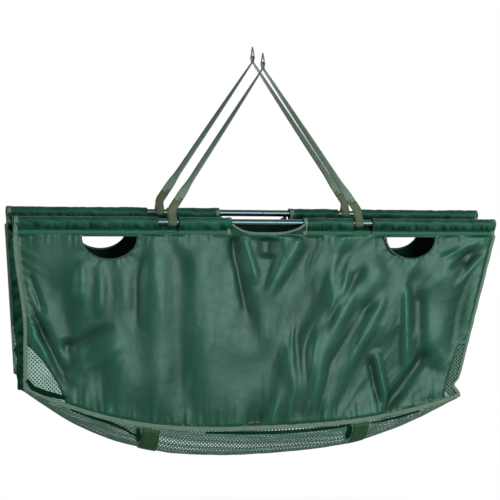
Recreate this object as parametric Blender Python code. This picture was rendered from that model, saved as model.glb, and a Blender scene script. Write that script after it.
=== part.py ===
"""Fish weigh sling: two cloth sides on two-piece poles, a mesh floor and two ringed lifting straps.

Units are metres, +Z is up and +X runs along the poles. The origin is where a scale's hook
bears on the two steel rings. The front side faces -Y.
"""
import math

import bmesh
import bpy
from mathutils import Matrix, Vector

# Place of the two sides under the hook
BAG_X = 0.007
POLE_SPACING = 0.096
FRONT_POLE_Z = -0.412
REAR_POLE_Z = -0.3875
SEWING_GAP = 0.0004

# Poles
POLE_RADIUS = 0.008
POLE_WALL = 0.001
POLE_LEFT_END = -0.577
POLE_JOINT = 0.022
POLE_RIGHT_END = 0.592
SPIGOT_RADIUS = 0.0066
SPIGOT_REACH = 0.060
SPIGOT_ROOT = 0.040
CAP_FLANGE = 0.002
CAP_STEM = 0.012
ROUND_SIDES = 16

# Sleeves that the poles run through
SLEEVE_END = 0.600
SLEEVE_GAP = 0.090
SLEEVE_BORE = 0.0094
SLEEVE_WALL = 0.0013
SLEEVE_POINT_Z = -0.0190
FLANGE_BOTTOM_Z = -0.0285
FLANGE_HALF = 0.0012
SLOT_INNER = 0.218
SLOT_OUTER = 0.268
SLOT_BOTTOM_Z = -0.0235
MOUTH_TAPE = 0.0095
MOUTH_TAPE_THICK = 0.0009

# Cloth sides, from each pole's centre line
PANEL_TOP_Z = FLANGE_BOTTOM_Z - SEWING_GAP
PANEL_THICK = 0.0012
NET_THICK = 0.0008
TAPE_WIDTH = 0.011
TAPE_HALF = 0.0016
TAPE_FOLD = 0.0015
TAPE_SLOT = PANEL_THICK / 2 + 0.00035
BOTTOM_LOW_Z = -0.4895
BOTTOM_LOW_S = -0.030
LEFT_RISE, LEFT_REACH, LEFT_POWER = 0.117, 0.553, 2.6
RIGHT_RISE, RIGHT_REACH, RIGHT_POWER = 0.062, 0.535, 2.8
CLOTH_COLUMNS = 36
CLOTH_ROWS = 8

# Hand holes: half ellipses with a straight top edge
HOLE_CENTRES = (-0.380, 0.373)
HOLE_TOP_Z = -0.034
HOLE_HALF_WIDTH = 0.064
HOLE_DEPTH = 0.050
HOLE_TRIM = 0.0055
HOLE_TRIM_HALF = 0.0013

# Quarter-round net inserts at the lower corners
CORNER_WIDTH = 0.098
CORNER_HEIGHT = 0.132
CORNER_DROP = (0.036, 0.012)

# Mesh floor and the two webbing bands under it
FLOOR_DEPTH = 0.056
FLOOR_POWER = 2.6
FLOOR_HALF_LENGTH = 0.535
FLOOR_THICK = 0.0010
FLOOR_COLUMNS = 20
FLOOR_SEGMENTS = 12
BAND_CENTRES = (-0.282, 0.2425)
BAND_WIDTH = 0.040
BAND_THICK = 0.0012
GUSSET_INSET = 0.007
GUSSET_CLEAR = 0.006

# Lifting straps
WEB_WIDTH = 0.020
WEB_THICK = 0.0014
WEB_GATHERED = 0.015
FOOT_S = {"front": 0.233, "rear": 0.237}
TWIST = {"front": 1, "rear": -1}
KINK_Z = 0.029
BOX_LENGTH = 0.024
APEX_S = -0.007
APEX_Z = 0.377
APEX_LEAN = 0.010
NECK_DROP = 0.013
STRAP_STEPS = 14

# Steel rings
RING_WIRE = 0.00175
RING_WIDTH = 0.024
RING_HEIGHT = 0.0255
RING_CORNER = 0.004
BAR_CLEARANCE = 0.0008

# One line a fold: top s, z, bottom s, z, half width, outward height
FOLDS = (
    (-0.275, -0.06, -0.262, -0.44, 0.034, 0.009),
    (-0.222, -0.05, -0.205, -0.42, 0.030, -0.007),
    (-0.165, -0.05, -0.130, -0.43, 0.036, 0.007),
    (-0.085, -0.03, -0.045, -0.26, 0.030, -0.009),
    (0.000, -0.03, 0.010, -0.16, 0.040, -0.006),
    (0.300, -0.09, 0.060, -0.42, 0.042, 0.008),
    (0.215, -0.05, -0.010, -0.34, 0.036, -0.006),
    (0.400, -0.10, 0.330, -0.40, 0.038, -0.006),
    (0.440, -0.34, 0.300, -0.47, 0.036, -0.008),
    (0.535, -0.05, 0.500, -0.30, 0.032, -0.008),
    (-0.520, -0.12, -0.420, -0.36, 0.036, -0.008),
    (-0.450, -0.10, -0.330, -0.40, 0.040, 0.005),
)


def smooth(t):
    """Ease from 0 to 1."""
    t = min(1.0, max(0.0, t))
    return t * t * (3 - 2 * t)


def lerp(a, b, t):
    return a + (b - a) * t


def clear_scene():
    for obj in list(bpy.data.objects):
        bpy.data.objects.remove(obj)


def make_material(name, colour, roughness, metallic=0.0):
    mat = bpy.data.materials.new(name)
    mat.use_nodes = True
    shader = mat.node_tree.nodes["Principled BSDF"]
    shader.inputs["Base Color"].default_value = (*colour, 1.0)
    shader.inputs["Roughness"].default_value = roughness
    shader.inputs["Metallic"].default_value = metallic
    mat.diffuse_color = (*colour, 1.0)
    return mat


def make_empty(name, location):
    empty = bpy.data.objects.new(name, None)
    empty.location = location
    bpy.context.collection.objects.link(empty)
    return empty


def make_object(name, mesh, parent, mat=None):
    obj = bpy.data.objects.new(name, mesh)
    bpy.context.collection.objects.link(obj)
    obj.parent = parent
    if mat:
        mesh.materials.append(mat)
    return obj


def finish_mesh(name, bm, smooth_angle=None):
    """Turn a closed bmesh into mesh data with its faces pointing out."""
    bmesh.ops.recalc_face_normals(bm, faces=bm.faces)
    mesh = bpy.data.meshes.new(name)
    bm.to_mesh(mesh)
    bm.free()
    if smooth_angle:
        mesh.shade_smooth()
        mesh.set_sharp_from_angle(angle=math.radians(smooth_angle))
    return mesh


def add_loft(bm, sections, ring=False):
    """Join closed loops of points into one solid. A ring joins its last loop to its first."""
    loops = [[bm.verts.new(p) for p in section] for section in sections]
    pairs = list(zip(loops, loops[1:]))
    if ring:
        pairs.append((loops[-1], loops[0]))
    for one, two in pairs:
        for k in range(len(one)):
            n = (k + 1) % len(one)
            bm.faces.new((one[k], one[n], two[n], two[k]))
    if not ring:
        bm.faces.new(loops[0])
        bm.faces.new(loops[-1])


def add_sheet(bm, outer, inner):
    """Join two grids of points, [column][row], into one thin solid."""
    columns = len(outer)
    rows = len(outer[0])
    faces = [[[bm.verts.new(p) for p in column] for column in grid] for grid in (outer, inner)]
    for grid in faces:
        for i in range(columns - 1):
            for j in range(rows - 1):
                bm.faces.new((grid[i][j], grid[i + 1][j], grid[i + 1][j + 1], grid[i][j + 1]))
    rim = [(i, 0) for i in range(columns)]
    rim += [(columns - 1, j) for j in range(1, rows)]
    rim += [(i, rows - 1) for i in range(columns - 2, -1, -1)]
    rim += [(0, j) for j in range(rows - 2, 0, -1)]
    for (i, j), (m, n) in zip(rim, rim[1:] + rim[:1]):
        bm.faces.new((faces[0][i][j], faces[0][m][n], faces[1][m][n], faces[1][i][j]))


def add_prism(bm, outline, half_depth):
    """Run an outline of (x, z) points through the cloth, along Y."""
    add_loft(bm, [[Vector((x, y, z)) for x, z in outline] for y in (-half_depth, half_depth)])


def cut(obj, cutter, operation="DIFFERENCE"):
    boolean = obj.modifiers.new(cutter.name, "BOOLEAN")
    boolean.operation = operation
    boolean.solver = "EXACT"
    boolean.object = cutter


def make_cutter(name, outline, half_depth, parent):
    bm = bmesh.new()
    add_prism(bm, outline, half_depth)
    cutter = make_object(name, finish_mesh(name, bm), parent)
    cutter.hide_render = True
    cutter.display_type = "WIRE"
    return cutter


# Poles

def circle(x, radius):
    turns = [2 * math.pi * k / ROUND_SIDES for k in range(ROUND_SIDES)]
    return [Vector((x, radius * math.cos(a), radius * math.sin(a))) for a in turns]


def add_tube(bm, start, end, radius, wall):
    bore = radius - wall
    add_loft(bm, [circle(start, radius), circle(end, radius), circle(end, bore), circle(start, bore)], ring=True)


def pole_half(side, hand, parent, mats):
    """A tube, its outer plug and, on the right half, the spigot that joins the halves."""
    toward = -1 if hand == "left" else 1
    outer_end = POLE_LEFT_END if hand == "left" else POLE_RIGHT_END
    tube_end = outer_end - toward * (CAP_FLANGE + SEWING_GAP)
    bm = bmesh.new()
    add_tube(bm, POLE_JOINT + toward * SEWING_GAP / 2, tube_end, POLE_RADIUS, POLE_WALL)
    name = f"{side}_pole_{hand}"
    make_object(name, finish_mesh(name, bm, 40), parent, mats["pole"])

    bm = bmesh.new()
    flange = tube_end + toward * SEWING_GAP
    stem_end = tube_end - toward * CAP_STEM
    add_loft(bm, [circle(outer_end, POLE_RADIUS), circle(flange, POLE_RADIUS),
                  circle(flange, SPIGOT_RADIUS), circle(stem_end, SPIGOT_RADIUS)])
    name = f"{side}_pole_cap_{hand}"
    make_object(name, finish_mesh(name, bm, 40), parent, mats["cap"])

    if hand == "right":
        bm = bmesh.new()
        start = POLE_JOINT - SPIGOT_REACH
        nose = start + POLE_WALL
        add_loft(bm, [circle(start, SPIGOT_RADIUS - POLE_WALL), circle(nose, SPIGOT_RADIUS),
                      circle(POLE_JOINT + SPIGOT_ROOT, SPIGOT_RADIUS)])
        name = f"{side}_pole_spigot"
        make_object(name, finish_mesh(name, bm, 40), parent, mats["spigot"])


# Sleeves

def teardrop(x, radius, point_z, half_flange, flange_z):
    """Cloth drawn over a pole and sewn together under it, counted round from the flange."""
    top = [math.radians(-38 + 256 * k / 10) for k in range(11)]
    arc = [Vector((x, radius * math.cos(a), radius * math.sin(a))) for a in top]
    right = [Vector((x, half_flange, flange_z)), Vector((x, half_flange, point_z))]
    left = [Vector((x, -half_flange, point_z)), Vector((x, -half_flange, flange_z))]
    return right + arc + left


def sleeve_outer(x, extra=0.0):
    return teardrop(x, SLEEVE_BORE + SLEEVE_WALL + extra, SLEEVE_POINT_Z - 0.001 - extra,
                    FLANGE_HALF + extra, FLANGE_BOTTOM_Z)


def sleeve_inner(x):
    point = SLEEVE_POINT_Z + 0.001
    return teardrop(x, SLEEVE_BORE, point, 0.0004, SLEEVE_POINT_Z)


def sleeve(side, hand, parent, mats):
    sign = -1 if hand == "left" else 1
    near, far = sign * SLEEVE_GAP, sign * SLEEVE_END
    bm = bmesh.new()
    add_loft(bm, [sleeve_outer(near), sleeve_outer(far), sleeve_inner(far), sleeve_inner(near)], ring=True)
    name = f"{side}_sleeve_{hand}"
    obj = make_object(name, finish_mesh(name, bm, 50), parent, mats["cloth"])
    low, high = sign * SLOT_INNER, sign * SLOT_OUTER
    outline = [(low, SLOT_BOTTOM_Z), (high, SLOT_BOTTOM_Z), (high, 2 * POLE_RADIUS), (low, 2 * POLE_RADIUS)]
    cut(obj, make_cutter(f"cutter_{side}_slot_{hand}", outline, 2 * POLE_RADIUS, parent))


def mouth_tape(side, place, hand, parent, mats):
    """Tape round one of a sleeve's open ends: the inner one at the gap or the outer one."""
    sign = -1 if hand == "left" else 1
    start = SLEEVE_GAP if place == "inner" else SLEEVE_END - MOUTH_TAPE
    end = start + MOUTH_TAPE
    low, high = SEWING_GAP, SEWING_GAP + MOUTH_TAPE_THICK
    bm = bmesh.new()
    add_loft(bm, [sleeve_outer(sign * start, low), sleeve_outer(sign * start, high),
                  sleeve_outer(sign * end, high), sleeve_outer(sign * end, low)], ring=True)
    name = f"{side}_{place}_mouth_tape_{hand}"
    make_object(name, finish_mesh(name, bm), parent, mats["tape"])


# Cloth sides

def left_edge(side, v):
    if side == "front":
        return lerp(-0.6005, -0.5770, smooth(v / 0.65))
    return lerp(-0.6040, -0.5830, v)


def right_edge(side, v):
    return lerp(0.6045, 0.5060, min(1.0, v / 0.87))


def bottom_z(s):
    """Height of the bottom tape's lower edge: deepest near the middle, higher at the corners."""
    d = s - BOTTOM_LOW_S
    if d < 0:
        return BOTTOM_LOW_Z + LEFT_RISE * (-d / LEFT_REACH) ** LEFT_POWER
    return BOTTOM_LOW_Z + RIGHT_RISE * (d / RIGHT_REACH) ** RIGHT_POWER


def fold_height(s, z):
    """How far the hanging cloth stands out of its plane."""
    total = 0.0
    for s0, z0, s1, z1, half, height in FOLDS:
        along = Vector((s1 - s0, z1 - z0))
        offset = Vector((s - s0, z - z0))
        t = offset.dot(along) / along.length_squared
        across = abs(offset.x * along.y - offset.y * along.x) / along.length
        ends = smooth((t + 0.15) / 0.3) * smooth((1.25 - t) / 0.4)
        total += height * ends * math.exp(-((across / half) ** 2))
    return total


def calm(s, z):
    """Folds die away at the sewn edges and round the hand holes."""
    top = smooth((PANEL_TOP_Z - z) / 0.05)
    bottom = 0.25 + 0.75 * smooth((z - bottom_z(s)) / 0.06)
    holes = 1.0
    for centre in HOLE_CENTRES:
        across = (s - centre) / (HOLE_HALF_WIDTH + 0.05)
        down = (z - HOLE_TOP_Z) / (HOLE_DEPTH + 0.05)
        holes *= smooth(1.6 * (math.hypot(across, down) - 0.55))
    return top * bottom * holes


def cloth_point(side, u, v):
    """A point of the side's middle surface, u from left to right and v from top to bottom."""
    s = lerp(left_edge(side, v), right_edge(side, v), u)
    low = bottom_z(lerp(left_edge(side, 1), right_edge(side, 1), u))
    z = lerp(PANEL_TOP_Z, low, v)
    mirror = -1 if side == "front" else 1
    edges = smooth(u / 0.05) * smooth((1 - u) / 0.05)
    depth = fold_height(-mirror * s, z) * calm(s, z) * edges
    return Vector((s, mirror * depth, z))


def cloth_grid(side):
    """Rows and columns of the side, with a line of points along the inner edge of each tape."""
    width = right_edge(side, 0) - left_edge(side, 0)
    tape_u = TAPE_WIDTH / width
    us = [0.0] + [lerp(tape_u, 1 - tape_u, k / (CLOTH_COLUMNS - 2)) for k in range(CLOTH_COLUMNS - 1)] + [1.0]
    grid = []
    for u in us:
        height = PANEL_TOP_Z - bottom_z(lerp(left_edge(side, 1), right_edge(side, 1), u))
        last = 1 - TAPE_WIDTH / height
        vs = [last * k / (CLOTH_ROWS - 1) for k in range(CLOTH_ROWS)] + [1.0]
        grid.append([cloth_point(side, u, v) for v in vs])
    return grid


def draw_in(grid, distance):
    """Move the side and bottom edges inward, along the strip that the tape covers."""
    t = distance / TAPE_WIDTH
    moved = [list(column) for column in grid]
    for j in range(len(grid[0])):
        moved[0][j] = grid[0][j].lerp(grid[1][j], t)
        moved[-1][j] = grid[-1][j].lerp(grid[-2][j], t)
    for column in moved:
        column[-1] = column[-1].lerp(column[-2], t)
    return moved


def add_cloth(bm, grid, thick):
    """A thin solid of flat triangles, which a cutter then parts cleanly."""
    half = Vector((0, thick / 2, 0))
    add_sheet(bm, [[p - half for p in column] for column in grid], [[p + half for p in column] for column in grid])
    bmesh.ops.triangulate(bm, faces=bm.faces)


def ellipse_arc(centre_x, centre_z, half_x, half_z, start, end, steps):
    turns = [math.radians(lerp(start, end, k / steps)) for k in range(steps + 1)]
    return [(centre_x + half_x * math.cos(a), centre_z + half_z * math.sin(a)) for a in turns]


def hole_outline(centre, grow, top):
    """A hand hole's half ellipse, grown all round, closed along a straight top at the given height."""
    arc = ellipse_arc(centre, HOLE_TOP_Z, HOLE_HALF_WIDTH + grow, HOLE_DEPTH + grow, 180, 360, 16)
    if top > HOLE_TOP_Z:
        return [(arc[0][0], top)] + arc + [(arc[-1][0], top)]
    return arc


def corner_outline(side, hand, grow):
    index = 0 if hand == "left" else 1
    edge = left_edge(side, 1) if hand == "left" else right_edge(side, 1)
    centre_z = bottom_z(edge) - CORNER_DROP[index]
    return ellipse_arc(edge, centre_z, CORNER_WIDTH + grow, CORNER_HEIGHT + grow, 0, 345, 23)


def side_panel(side, grid, parent, mats):
    bm = bmesh.new()
    add_cloth(bm, draw_in(grid, TAPE_FOLD + SEWING_GAP), PANEL_THICK)
    name = f"{side}_panel"
    panel = make_object(name, finish_mesh(name, bm, 60), parent, mats["cloth"])
    for hand, centre in zip(("left", "right"), HOLE_CENTRES):
        outline = hole_outline(centre, HOLE_TRIM + SEWING_GAP, PANEL_TOP_Z + 0.004)
        cut(panel, make_cutter(f"cutter_{side}_hole_{hand}", outline, 0.02, parent))
        outline = corner_outline(side, hand, 0.0)
        cut(panel, make_cutter(f"cutter_{side}_corner_{hand}", outline, 0.03, parent))


def net_corner(side, hand, grid, parent, mats):
    """The netting that rounds off a lower corner."""
    bm = bmesh.new()
    inset = draw_in(grid, TAPE_FOLD + SEWING_GAP)
    columns = inset[:6] if hand == "left" else inset[-6:]
    add_cloth(bm, [column[3:] for column in columns], NET_THICK)
    name = f"{side}_net_corner_{hand}"
    obj = make_object(name, finish_mesh(name, bm, 60), parent, mats["net"])
    outline = corner_outline(side, hand, -SEWING_GAP)
    cut(obj, make_cutter(f"cutter_{side}_net_{hand}", outline, 0.03, parent), "INTERSECT")


def tape_section(edge, inward):
    """The folded tape's section: two lips on the cloth and a closed outer edge."""
    across = (inward - edge).normalized()
    corners = ((0, -TAPE_HALF), (TAPE_WIDTH, -TAPE_HALF), (TAPE_WIDTH, -TAPE_SLOT), (TAPE_FOLD, -TAPE_SLOT),
               (TAPE_FOLD, TAPE_SLOT), (TAPE_WIDTH, TAPE_SLOT), (TAPE_WIDTH, TAPE_HALF), (0, TAPE_HALF))
    return [edge + across * a + Vector((0, b, 0)) for a, b in corners]


def side_tape(side, hand, grid, parent, mats):
    """Tape down one side edge."""
    edge, inner = (grid[0], grid[1]) if hand == "left" else (grid[-1], grid[-2])
    sections = [tape_section(a, b) for a, b in zip(edge[:-2], inner[:-2])]
    stop = 0.97
    sections.append(tape_section(edge[-3].lerp(edge[-2], stop), inner[-3].lerp(inner[-2], stop)))
    bm = bmesh.new()
    add_loft(bm, sections)
    name = f"{side}_side_tape_{hand}"
    make_object(name, finish_mesh(name, bm), parent, mats["tape"])


def bottom_tape(side, grid, parent, mats):
    bm = bmesh.new()
    add_loft(bm, [tape_section(column[-1], column[-2]) for column in grid])
    name = f"{side}_bottom_tape"
    make_object(name, finish_mesh(name, bm), parent, mats["tape"])


def gap_tape(side, parent, mats):
    """Tape along the cloth's free top edge between the sleeves."""
    bm = bmesh.new()
    half = SLEEVE_GAP - 0.0015
    sections = []
    for k in range(13):
        s = lerp(-half, half, k / 12)
        top = -0.021 + 0.009 * (s / half) ** 2
        low = FLANGE_BOTTOM_Z
        ring = ((-TAPE_HALF, low), (TAPE_HALF, low), (TAPE_HALF, top - 0.0008), (0, top), (-TAPE_HALF, top - 0.0008))
        sections.append([Vector((s, y, z)) for y, z in ring])
    add_loft(bm, sections)
    name = f"{side}_gap_tape"
    make_object(name, finish_mesh(name, bm), parent, mats["tape"])


def hole_trim(side, hand, centre, parent, mats):
    """The stitched facing round a hand hole."""
    inner = hole_outline(centre, 0.0, HOLE_TOP_Z)
    outer = ellipse_arc(centre, HOLE_TOP_Z, HOLE_HALF_WIDTH + HOLE_TRIM, HOLE_DEPTH + HOLE_TRIM, 180, 360, 16)
    top = PANEL_TOP_Z
    inner += [(lerp(inner[-1][0], inner[0][0], k / 4), HOLE_TOP_Z) for k in (1, 2, 3)]
    outer += [(outer[-1][0], top), (centre, top), (outer[0][0], top)]
    bm = bmesh.new()
    loops = [[Vector((x, y, z)) for x, z in outline]
             for outline, y in ((outer, -HOLE_TRIM_HALF), (outer, HOLE_TRIM_HALF),
                                (inner, HOLE_TRIM_HALF), (inner, -HOLE_TRIM_HALF))]
    add_loft(bm, loops, ring=True)
    name = f"{side}_hole_trim_{hand}"
    make_object(name, finish_mesh(name, bm), parent, mats["tape"])


# Mesh floor, bands and end gussets, from the front pole's centre line

def floor_point(s, t, offset=0.0):
    """A point of the hanging floor, t from the front rim to the rear, moved outward by offset."""
    lift = REAR_POLE_Z - FRONT_POLE_Z
    end = min(1.0, abs(s - BOTTOM_LOW_S) / FLOOR_HALF_LENGTH)
    depth = FLOOR_DEPTH * (1 - end ** FLOOR_POWER) + 0.004

    def profile(t):
        y = lerp(-POLE_SPACING / 2, POLE_SPACING / 2, t)
        rim = bottom_z(s) - 0.0014
        return Vector((s, y, rim + lift * smooth((t - 0.62) / 0.38) - depth * math.sin(math.pi * t) ** 0.75))

    here = profile(t)
    step = 0.01
    along = profile(min(1.0, t + step)) - profile(max(0.0, t - step))
    outward = Vector((0, along.z, -along.y)).normalized()
    return here + outward * offset


def floor_grid(stations, offset):
    ts = [k / FLOOR_SEGMENTS for k in range(FLOOR_SEGMENTS + 1)]
    return [[floor_point(s, t, offset) for t in ts] for s in stations]


def mesh_floor(parent, mats):
    stations = [lerp(-0.568, 0.496, k / FLOOR_COLUMNS) for k in range(FLOOR_COLUMNS + 1)]
    bm = bmesh.new()
    add_sheet(bm, floor_grid(stations, FLOOR_THICK / 2), floor_grid(stations, -FLOOR_THICK / 2))
    make_object("mesh_floor", finish_mesh("mesh_floor", bm, 60), parent, mats["net"])


def floor_band(hand, centre, parent, mats):
    inner = FLOOR_THICK / 2 + 0.0006
    stations = [centre - BAND_WIDTH / 2, centre, centre + BAND_WIDTH / 2]
    bm = bmesh.new()
    add_sheet(bm, floor_grid(stations, inner + BAND_THICK), floor_grid(stations, inner))
    name = f"floor_band_{hand}"
    make_object(name, finish_mesh(name, bm, 60), parent, mats["band"])


def end_gusset(hand, parent, mats):
    """The puckered strip of cloth that closes one end of the bag."""
    sign = -1 if hand == "left" else 1
    edge = left_edge if hand == "left" else right_edge
    lift = REAR_POLE_Z - FRONT_POLE_Z
    inset = POLE_SPACING / 2 - TAPE_HALF - 2 * SEWING_GAP
    inner, outer = [], []
    for i in range(7):
        w = i / 6
        pucker = 0.004 * math.cos(2 * math.pi * w)
        rows = []
        for j in range(10):
            v = j / 9
            x = lerp(edge("front", v), edge("rear", v), w) - sign * (GUSSET_INSET + pucker)
            top = PANEL_TOP_Z + lift * w
            low = floor_point(edge("front", 1) - sign * GUSSET_INSET, w).z + GUSSET_CLEAR
            rows.append(Vector((x, lerp(-inset, inset, w), lerp(top, low, v))))
        half = Vector((sign * PANEL_THICK / 2, 0, 0))
        inner.append([p - half for p in rows])
        outer.append([p + half for p in rows])
    bm = bmesh.new()
    add_sheet(bm, outer, inner)
    name = f"end_gusset_{hand}"
    make_object(name, finish_mesh(name, bm, 60), parent, mats["cloth"])


# Lifting straps and rings

def strap_stations(side):
    """Centre, width direction and width of the webbing, from the left tail to the right tail."""
    foot = FOOT_S[side]
    ply = WEB_THICK / 2 + SEWING_GAP / 2
    loop_radius = POLE_RADIUS + 0.0005 + WEB_THICK / 2
    neck = WEB_THICK / 2 + SEWING_GAP
    half = []
    kink = Vector((foot, 0, KINK_Z))
    neck_point = Vector((APEX_S + neck, 0, APEX_Z - NECK_DROP))
    leg = (neck_point - kink).normalized()
    flat = Vector((leg.z, 0, -leg.x))
    x_axis = Vector((1, 0, 0))
    y_axis = Vector((0, 1, 0))
    turned = y_axis * TWIST[side]
    half.append((kink + leg * BOX_LENGTH - y_axis * ply, flat, WEB_WIDTH))
    half.append((kink + leg * 0.004 - y_axis * ply, flat, WEB_WIDTH))
    half.append((Vector((foot, -ply, KINK_Z - 0.003)), x_axis, WEB_WIDTH))
    for k in range(11):
        a = math.radians(160 + 22 * k)
        half.append((Vector((foot, loop_radius * math.cos(a), loop_radius * math.sin(a))), x_axis, WEB_WIDTH))
    half.append((Vector((foot, ply, KINK_Z - 0.003)), x_axis, WEB_WIDTH))
    half.append((kink + leg * 0.004 + y_axis * ply, flat, WEB_WIDTH))
    half.append((kink + leg * BOX_LENGTH + y_axis * ply, flat, WEB_WIDTH))
    start = kink + leg * (BOX_LENGTH + 0.012)
    for k in range(STRAP_STEPS + 1):
        t = k / STRAP_STEPS
        twist = math.radians(90) * smooth(t * 1.02)
        across = flat * math.cos(twist) + turned * math.sin(twist)
        width = lerp(WEB_WIDTH, WEB_GATHERED, smooth((t - 0.85) / 0.15))
        half.append((start.lerp(neck_point, t), across, width))
    bar = RING_WIRE + BAR_CLEARANCE + WEB_THICK / 2
    for k in range(4):
        a = math.radians(lerp(-10, 90, k / 4))
        half.append((Vector((APEX_S + bar * math.cos(a), 0, APEX_Z + bar * math.sin(a))), turned, WEB_GATHERED))
    crown = (Vector((APEX_S, 0, APEX_Z + bar)), turned, WEB_GATHERED)
    return half, crown


def mirrored(side, station):
    """The same station on the left leg, whose foot is as far from the gap's centre as the right's."""
    centre, across, width = station
    foot = FOOT_S[side]
    t = min(1.0, max(0.0, (centre.z - KINK_Z) / (APEX_Z - NECK_DROP - KINK_Z)))
    shift = 2 * APEX_S * t
    return Vector((-centre.x + shift, centre.y, centre.z)), Vector((-across.x, across.y, across.z)), width


def lean(side):
    """The strap leans inward, so that both rings meet on the hook."""
    angle = math.asin(APEX_LEAN / APEX_Z)
    return Matrix.Rotation(-angle if side == "front" else angle, 3, "X")


def lifting_strap(side, parent, mats):
    right, crown = strap_stations(side)
    left = [mirrored(side, station) for station in right]
    stations = right + [crown] + left[::-1]
    turn = lean(side)
    sections = []
    for k, (centre, across, width) in enumerate(stations):
        before = stations[max(0, k - 1)][0]
        after = stations[min(len(stations) - 1, k + 1)][0]
        along = (after - before).normalized()
        across = (across - along * across.dot(along)).normalized()
        normal = along.cross(across)
        wide = across * width / 2
        thick = normal * WEB_THICK / 2
        corners = (centre + wide + thick, centre - wide + thick, centre - wide - thick, centre + wide - thick)
        sections.append([turn @ p for p in corners])
    bm = bmesh.new()
    add_loft(bm, sections)
    name = f"{side}_strap"
    make_object(name, finish_mesh(name, bm, 60), parent, mats["web"])


def ring_path():
    """The ring's centre line in its own plane: a rounded triangle standing on its bar."""
    corners = [Vector((-RING_WIDTH / 2, 0)), Vector((RING_WIDTH / 2, 0)), Vector((0, RING_HEIGHT))]
    path = []
    for k, corner in enumerate(corners):
        before = (corners[k - 1] - corner).normalized()
        after = (corners[(k + 1) % 3] - corner).normalized()
        half_angle = before.angle(after) / 2
        reach = RING_CORNER / math.tan(half_angle) * (0.55 if k == 2 else 1.0)
        start = corner + before * reach
        end = corner + after * reach
        for step in range(5):
            t = step / 4
            path.append(start.lerp(corner, t).lerp(corner.lerp(end, t), t))
    return path


def steel_ring(side, parent, mats):
    path = ring_path()
    sections = []
    for k, point in enumerate(path):
        along = (path[(k + 1) % len(path)] - path[k - 1]).normalized()
        outward = Vector((0, along.y, -along.x))
        centre = Vector((0, point.x, point.y))
        turns = [2 * math.pi * n / 8 for n in range(8)]
        sections.append([centre + Vector((RING_WIRE * math.cos(a), 0, 0)) + outward * RING_WIRE * math.sin(a)
                         for a in turns])
    bm = bmesh.new()
    add_loft(bm, sections, ring=True)
    name = f"{side}_ring"
    make_object(name, finish_mesh(name, bm, 60), parent, mats["steel"])


def build_side(side, axis, ring_pivot, mats):
    """Everything that hangs on one pole."""
    grid = cloth_grid(side)
    side_panel(side, grid, axis, mats)
    bottom_tape(side, grid, axis, mats)
    gap_tape(side, axis, mats)
    for hand, centre in zip(("left", "right"), HOLE_CENTRES):
        sleeve(side, hand, axis, mats)
        side_tape(side, hand, grid, axis, mats)
        net_corner(side, hand, grid, axis, mats)
        hole_trim(side, hand, centre, axis, mats)
        pole_half(side, hand, axis, mats)
        for place in ("inner", "outer"):
            mouth_tape(side, place, hand, axis, mats)
    lifting_strap(side, axis, mats)
    steel_ring(side, ring_pivot, mats)


def main():
    clear_scene()
    mats = {
        "cloth": make_material("coated_nylon", (0.045, 0.115, 0.085), 0.42),
        "tape": make_material("binding_tape", (0.12, 0.19, 0.14), 0.80),
        "net": make_material("green_netting", (0.20, 0.33, 0.27), 0.75),
        "web": make_material("strap_webbing", (0.13, 0.18, 0.13), 0.80),
        "band": make_material("floor_webbing", (0.03, 0.06, 0.035), 0.75),
        "pole": make_material("anodised_tube", (0.03, 0.06, 0.065), 0.28, 1.0),
        "spigot": make_material("bare_aluminium", (0.60, 0.62, 0.62), 0.35, 1.0),
        "cap": make_material("black_plug", (0.015, 0.015, 0.015), 0.60),
        "steel": make_material("ring_steel", (0.45, 0.46, 0.45), 0.30, 1.0),
    }
    for side, y, z in (("front", -POLE_SPACING / 2, FRONT_POLE_Z), ("rear", POLE_SPACING / 2, REAR_POLE_Z)):
        axis = make_empty(f"{side}_pole_axis", (BAG_X, y, z))
        inward = APEX_LEAN if side == "front" else -APEX_LEAN
        pivot_z = z + math.sqrt(APEX_Z ** 2 - APEX_LEAN ** 2)
        ring_pivot = make_empty(f"{side}_ring_pivot", (BAG_X + APEX_S, y + inward, pivot_z))
        build_side(side, axis, ring_pivot, mats)
    bag = make_empty("bag_centre", (BAG_X, 0, FRONT_POLE_Z))
    mesh_floor(bag, mats)
    for hand, centre in zip(("left", "right"), BAND_CENTRES):
        floor_band(hand, centre, bag, mats)
        end_gusset(hand, bag, mats)


main()
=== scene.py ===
"""Looks of the fish weigh sling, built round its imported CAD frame.

Units are metres in the row frame. Side pieces are laid out from their pole's centre line, with s
along the pole from the middle of the bag and z upward.
"""

import math

import bmesh
import bpy
import numpy as np
from mathutils import Matrix, Vector, noise

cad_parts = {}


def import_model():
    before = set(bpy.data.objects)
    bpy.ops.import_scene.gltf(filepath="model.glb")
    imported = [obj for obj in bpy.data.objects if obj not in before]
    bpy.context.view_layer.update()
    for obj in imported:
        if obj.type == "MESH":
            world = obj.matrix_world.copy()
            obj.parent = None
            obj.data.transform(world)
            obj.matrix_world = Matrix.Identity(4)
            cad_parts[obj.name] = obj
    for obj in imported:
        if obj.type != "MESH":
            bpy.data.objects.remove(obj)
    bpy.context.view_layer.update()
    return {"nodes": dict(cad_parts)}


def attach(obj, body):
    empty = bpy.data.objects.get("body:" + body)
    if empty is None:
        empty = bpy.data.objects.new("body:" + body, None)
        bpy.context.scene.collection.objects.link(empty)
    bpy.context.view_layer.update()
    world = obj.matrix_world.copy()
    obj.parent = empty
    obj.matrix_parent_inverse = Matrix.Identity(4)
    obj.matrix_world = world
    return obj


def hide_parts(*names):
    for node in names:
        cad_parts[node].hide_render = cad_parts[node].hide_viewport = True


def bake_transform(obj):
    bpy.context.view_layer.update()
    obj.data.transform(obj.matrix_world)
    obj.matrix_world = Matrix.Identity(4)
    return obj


SIDES = ("front", "rear")
HANDS = ("left", "right")
X, Y, Z = Vector((1, 0, 0)), Vector((0, 1, 0)), Vector((0, 0, 1))

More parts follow.
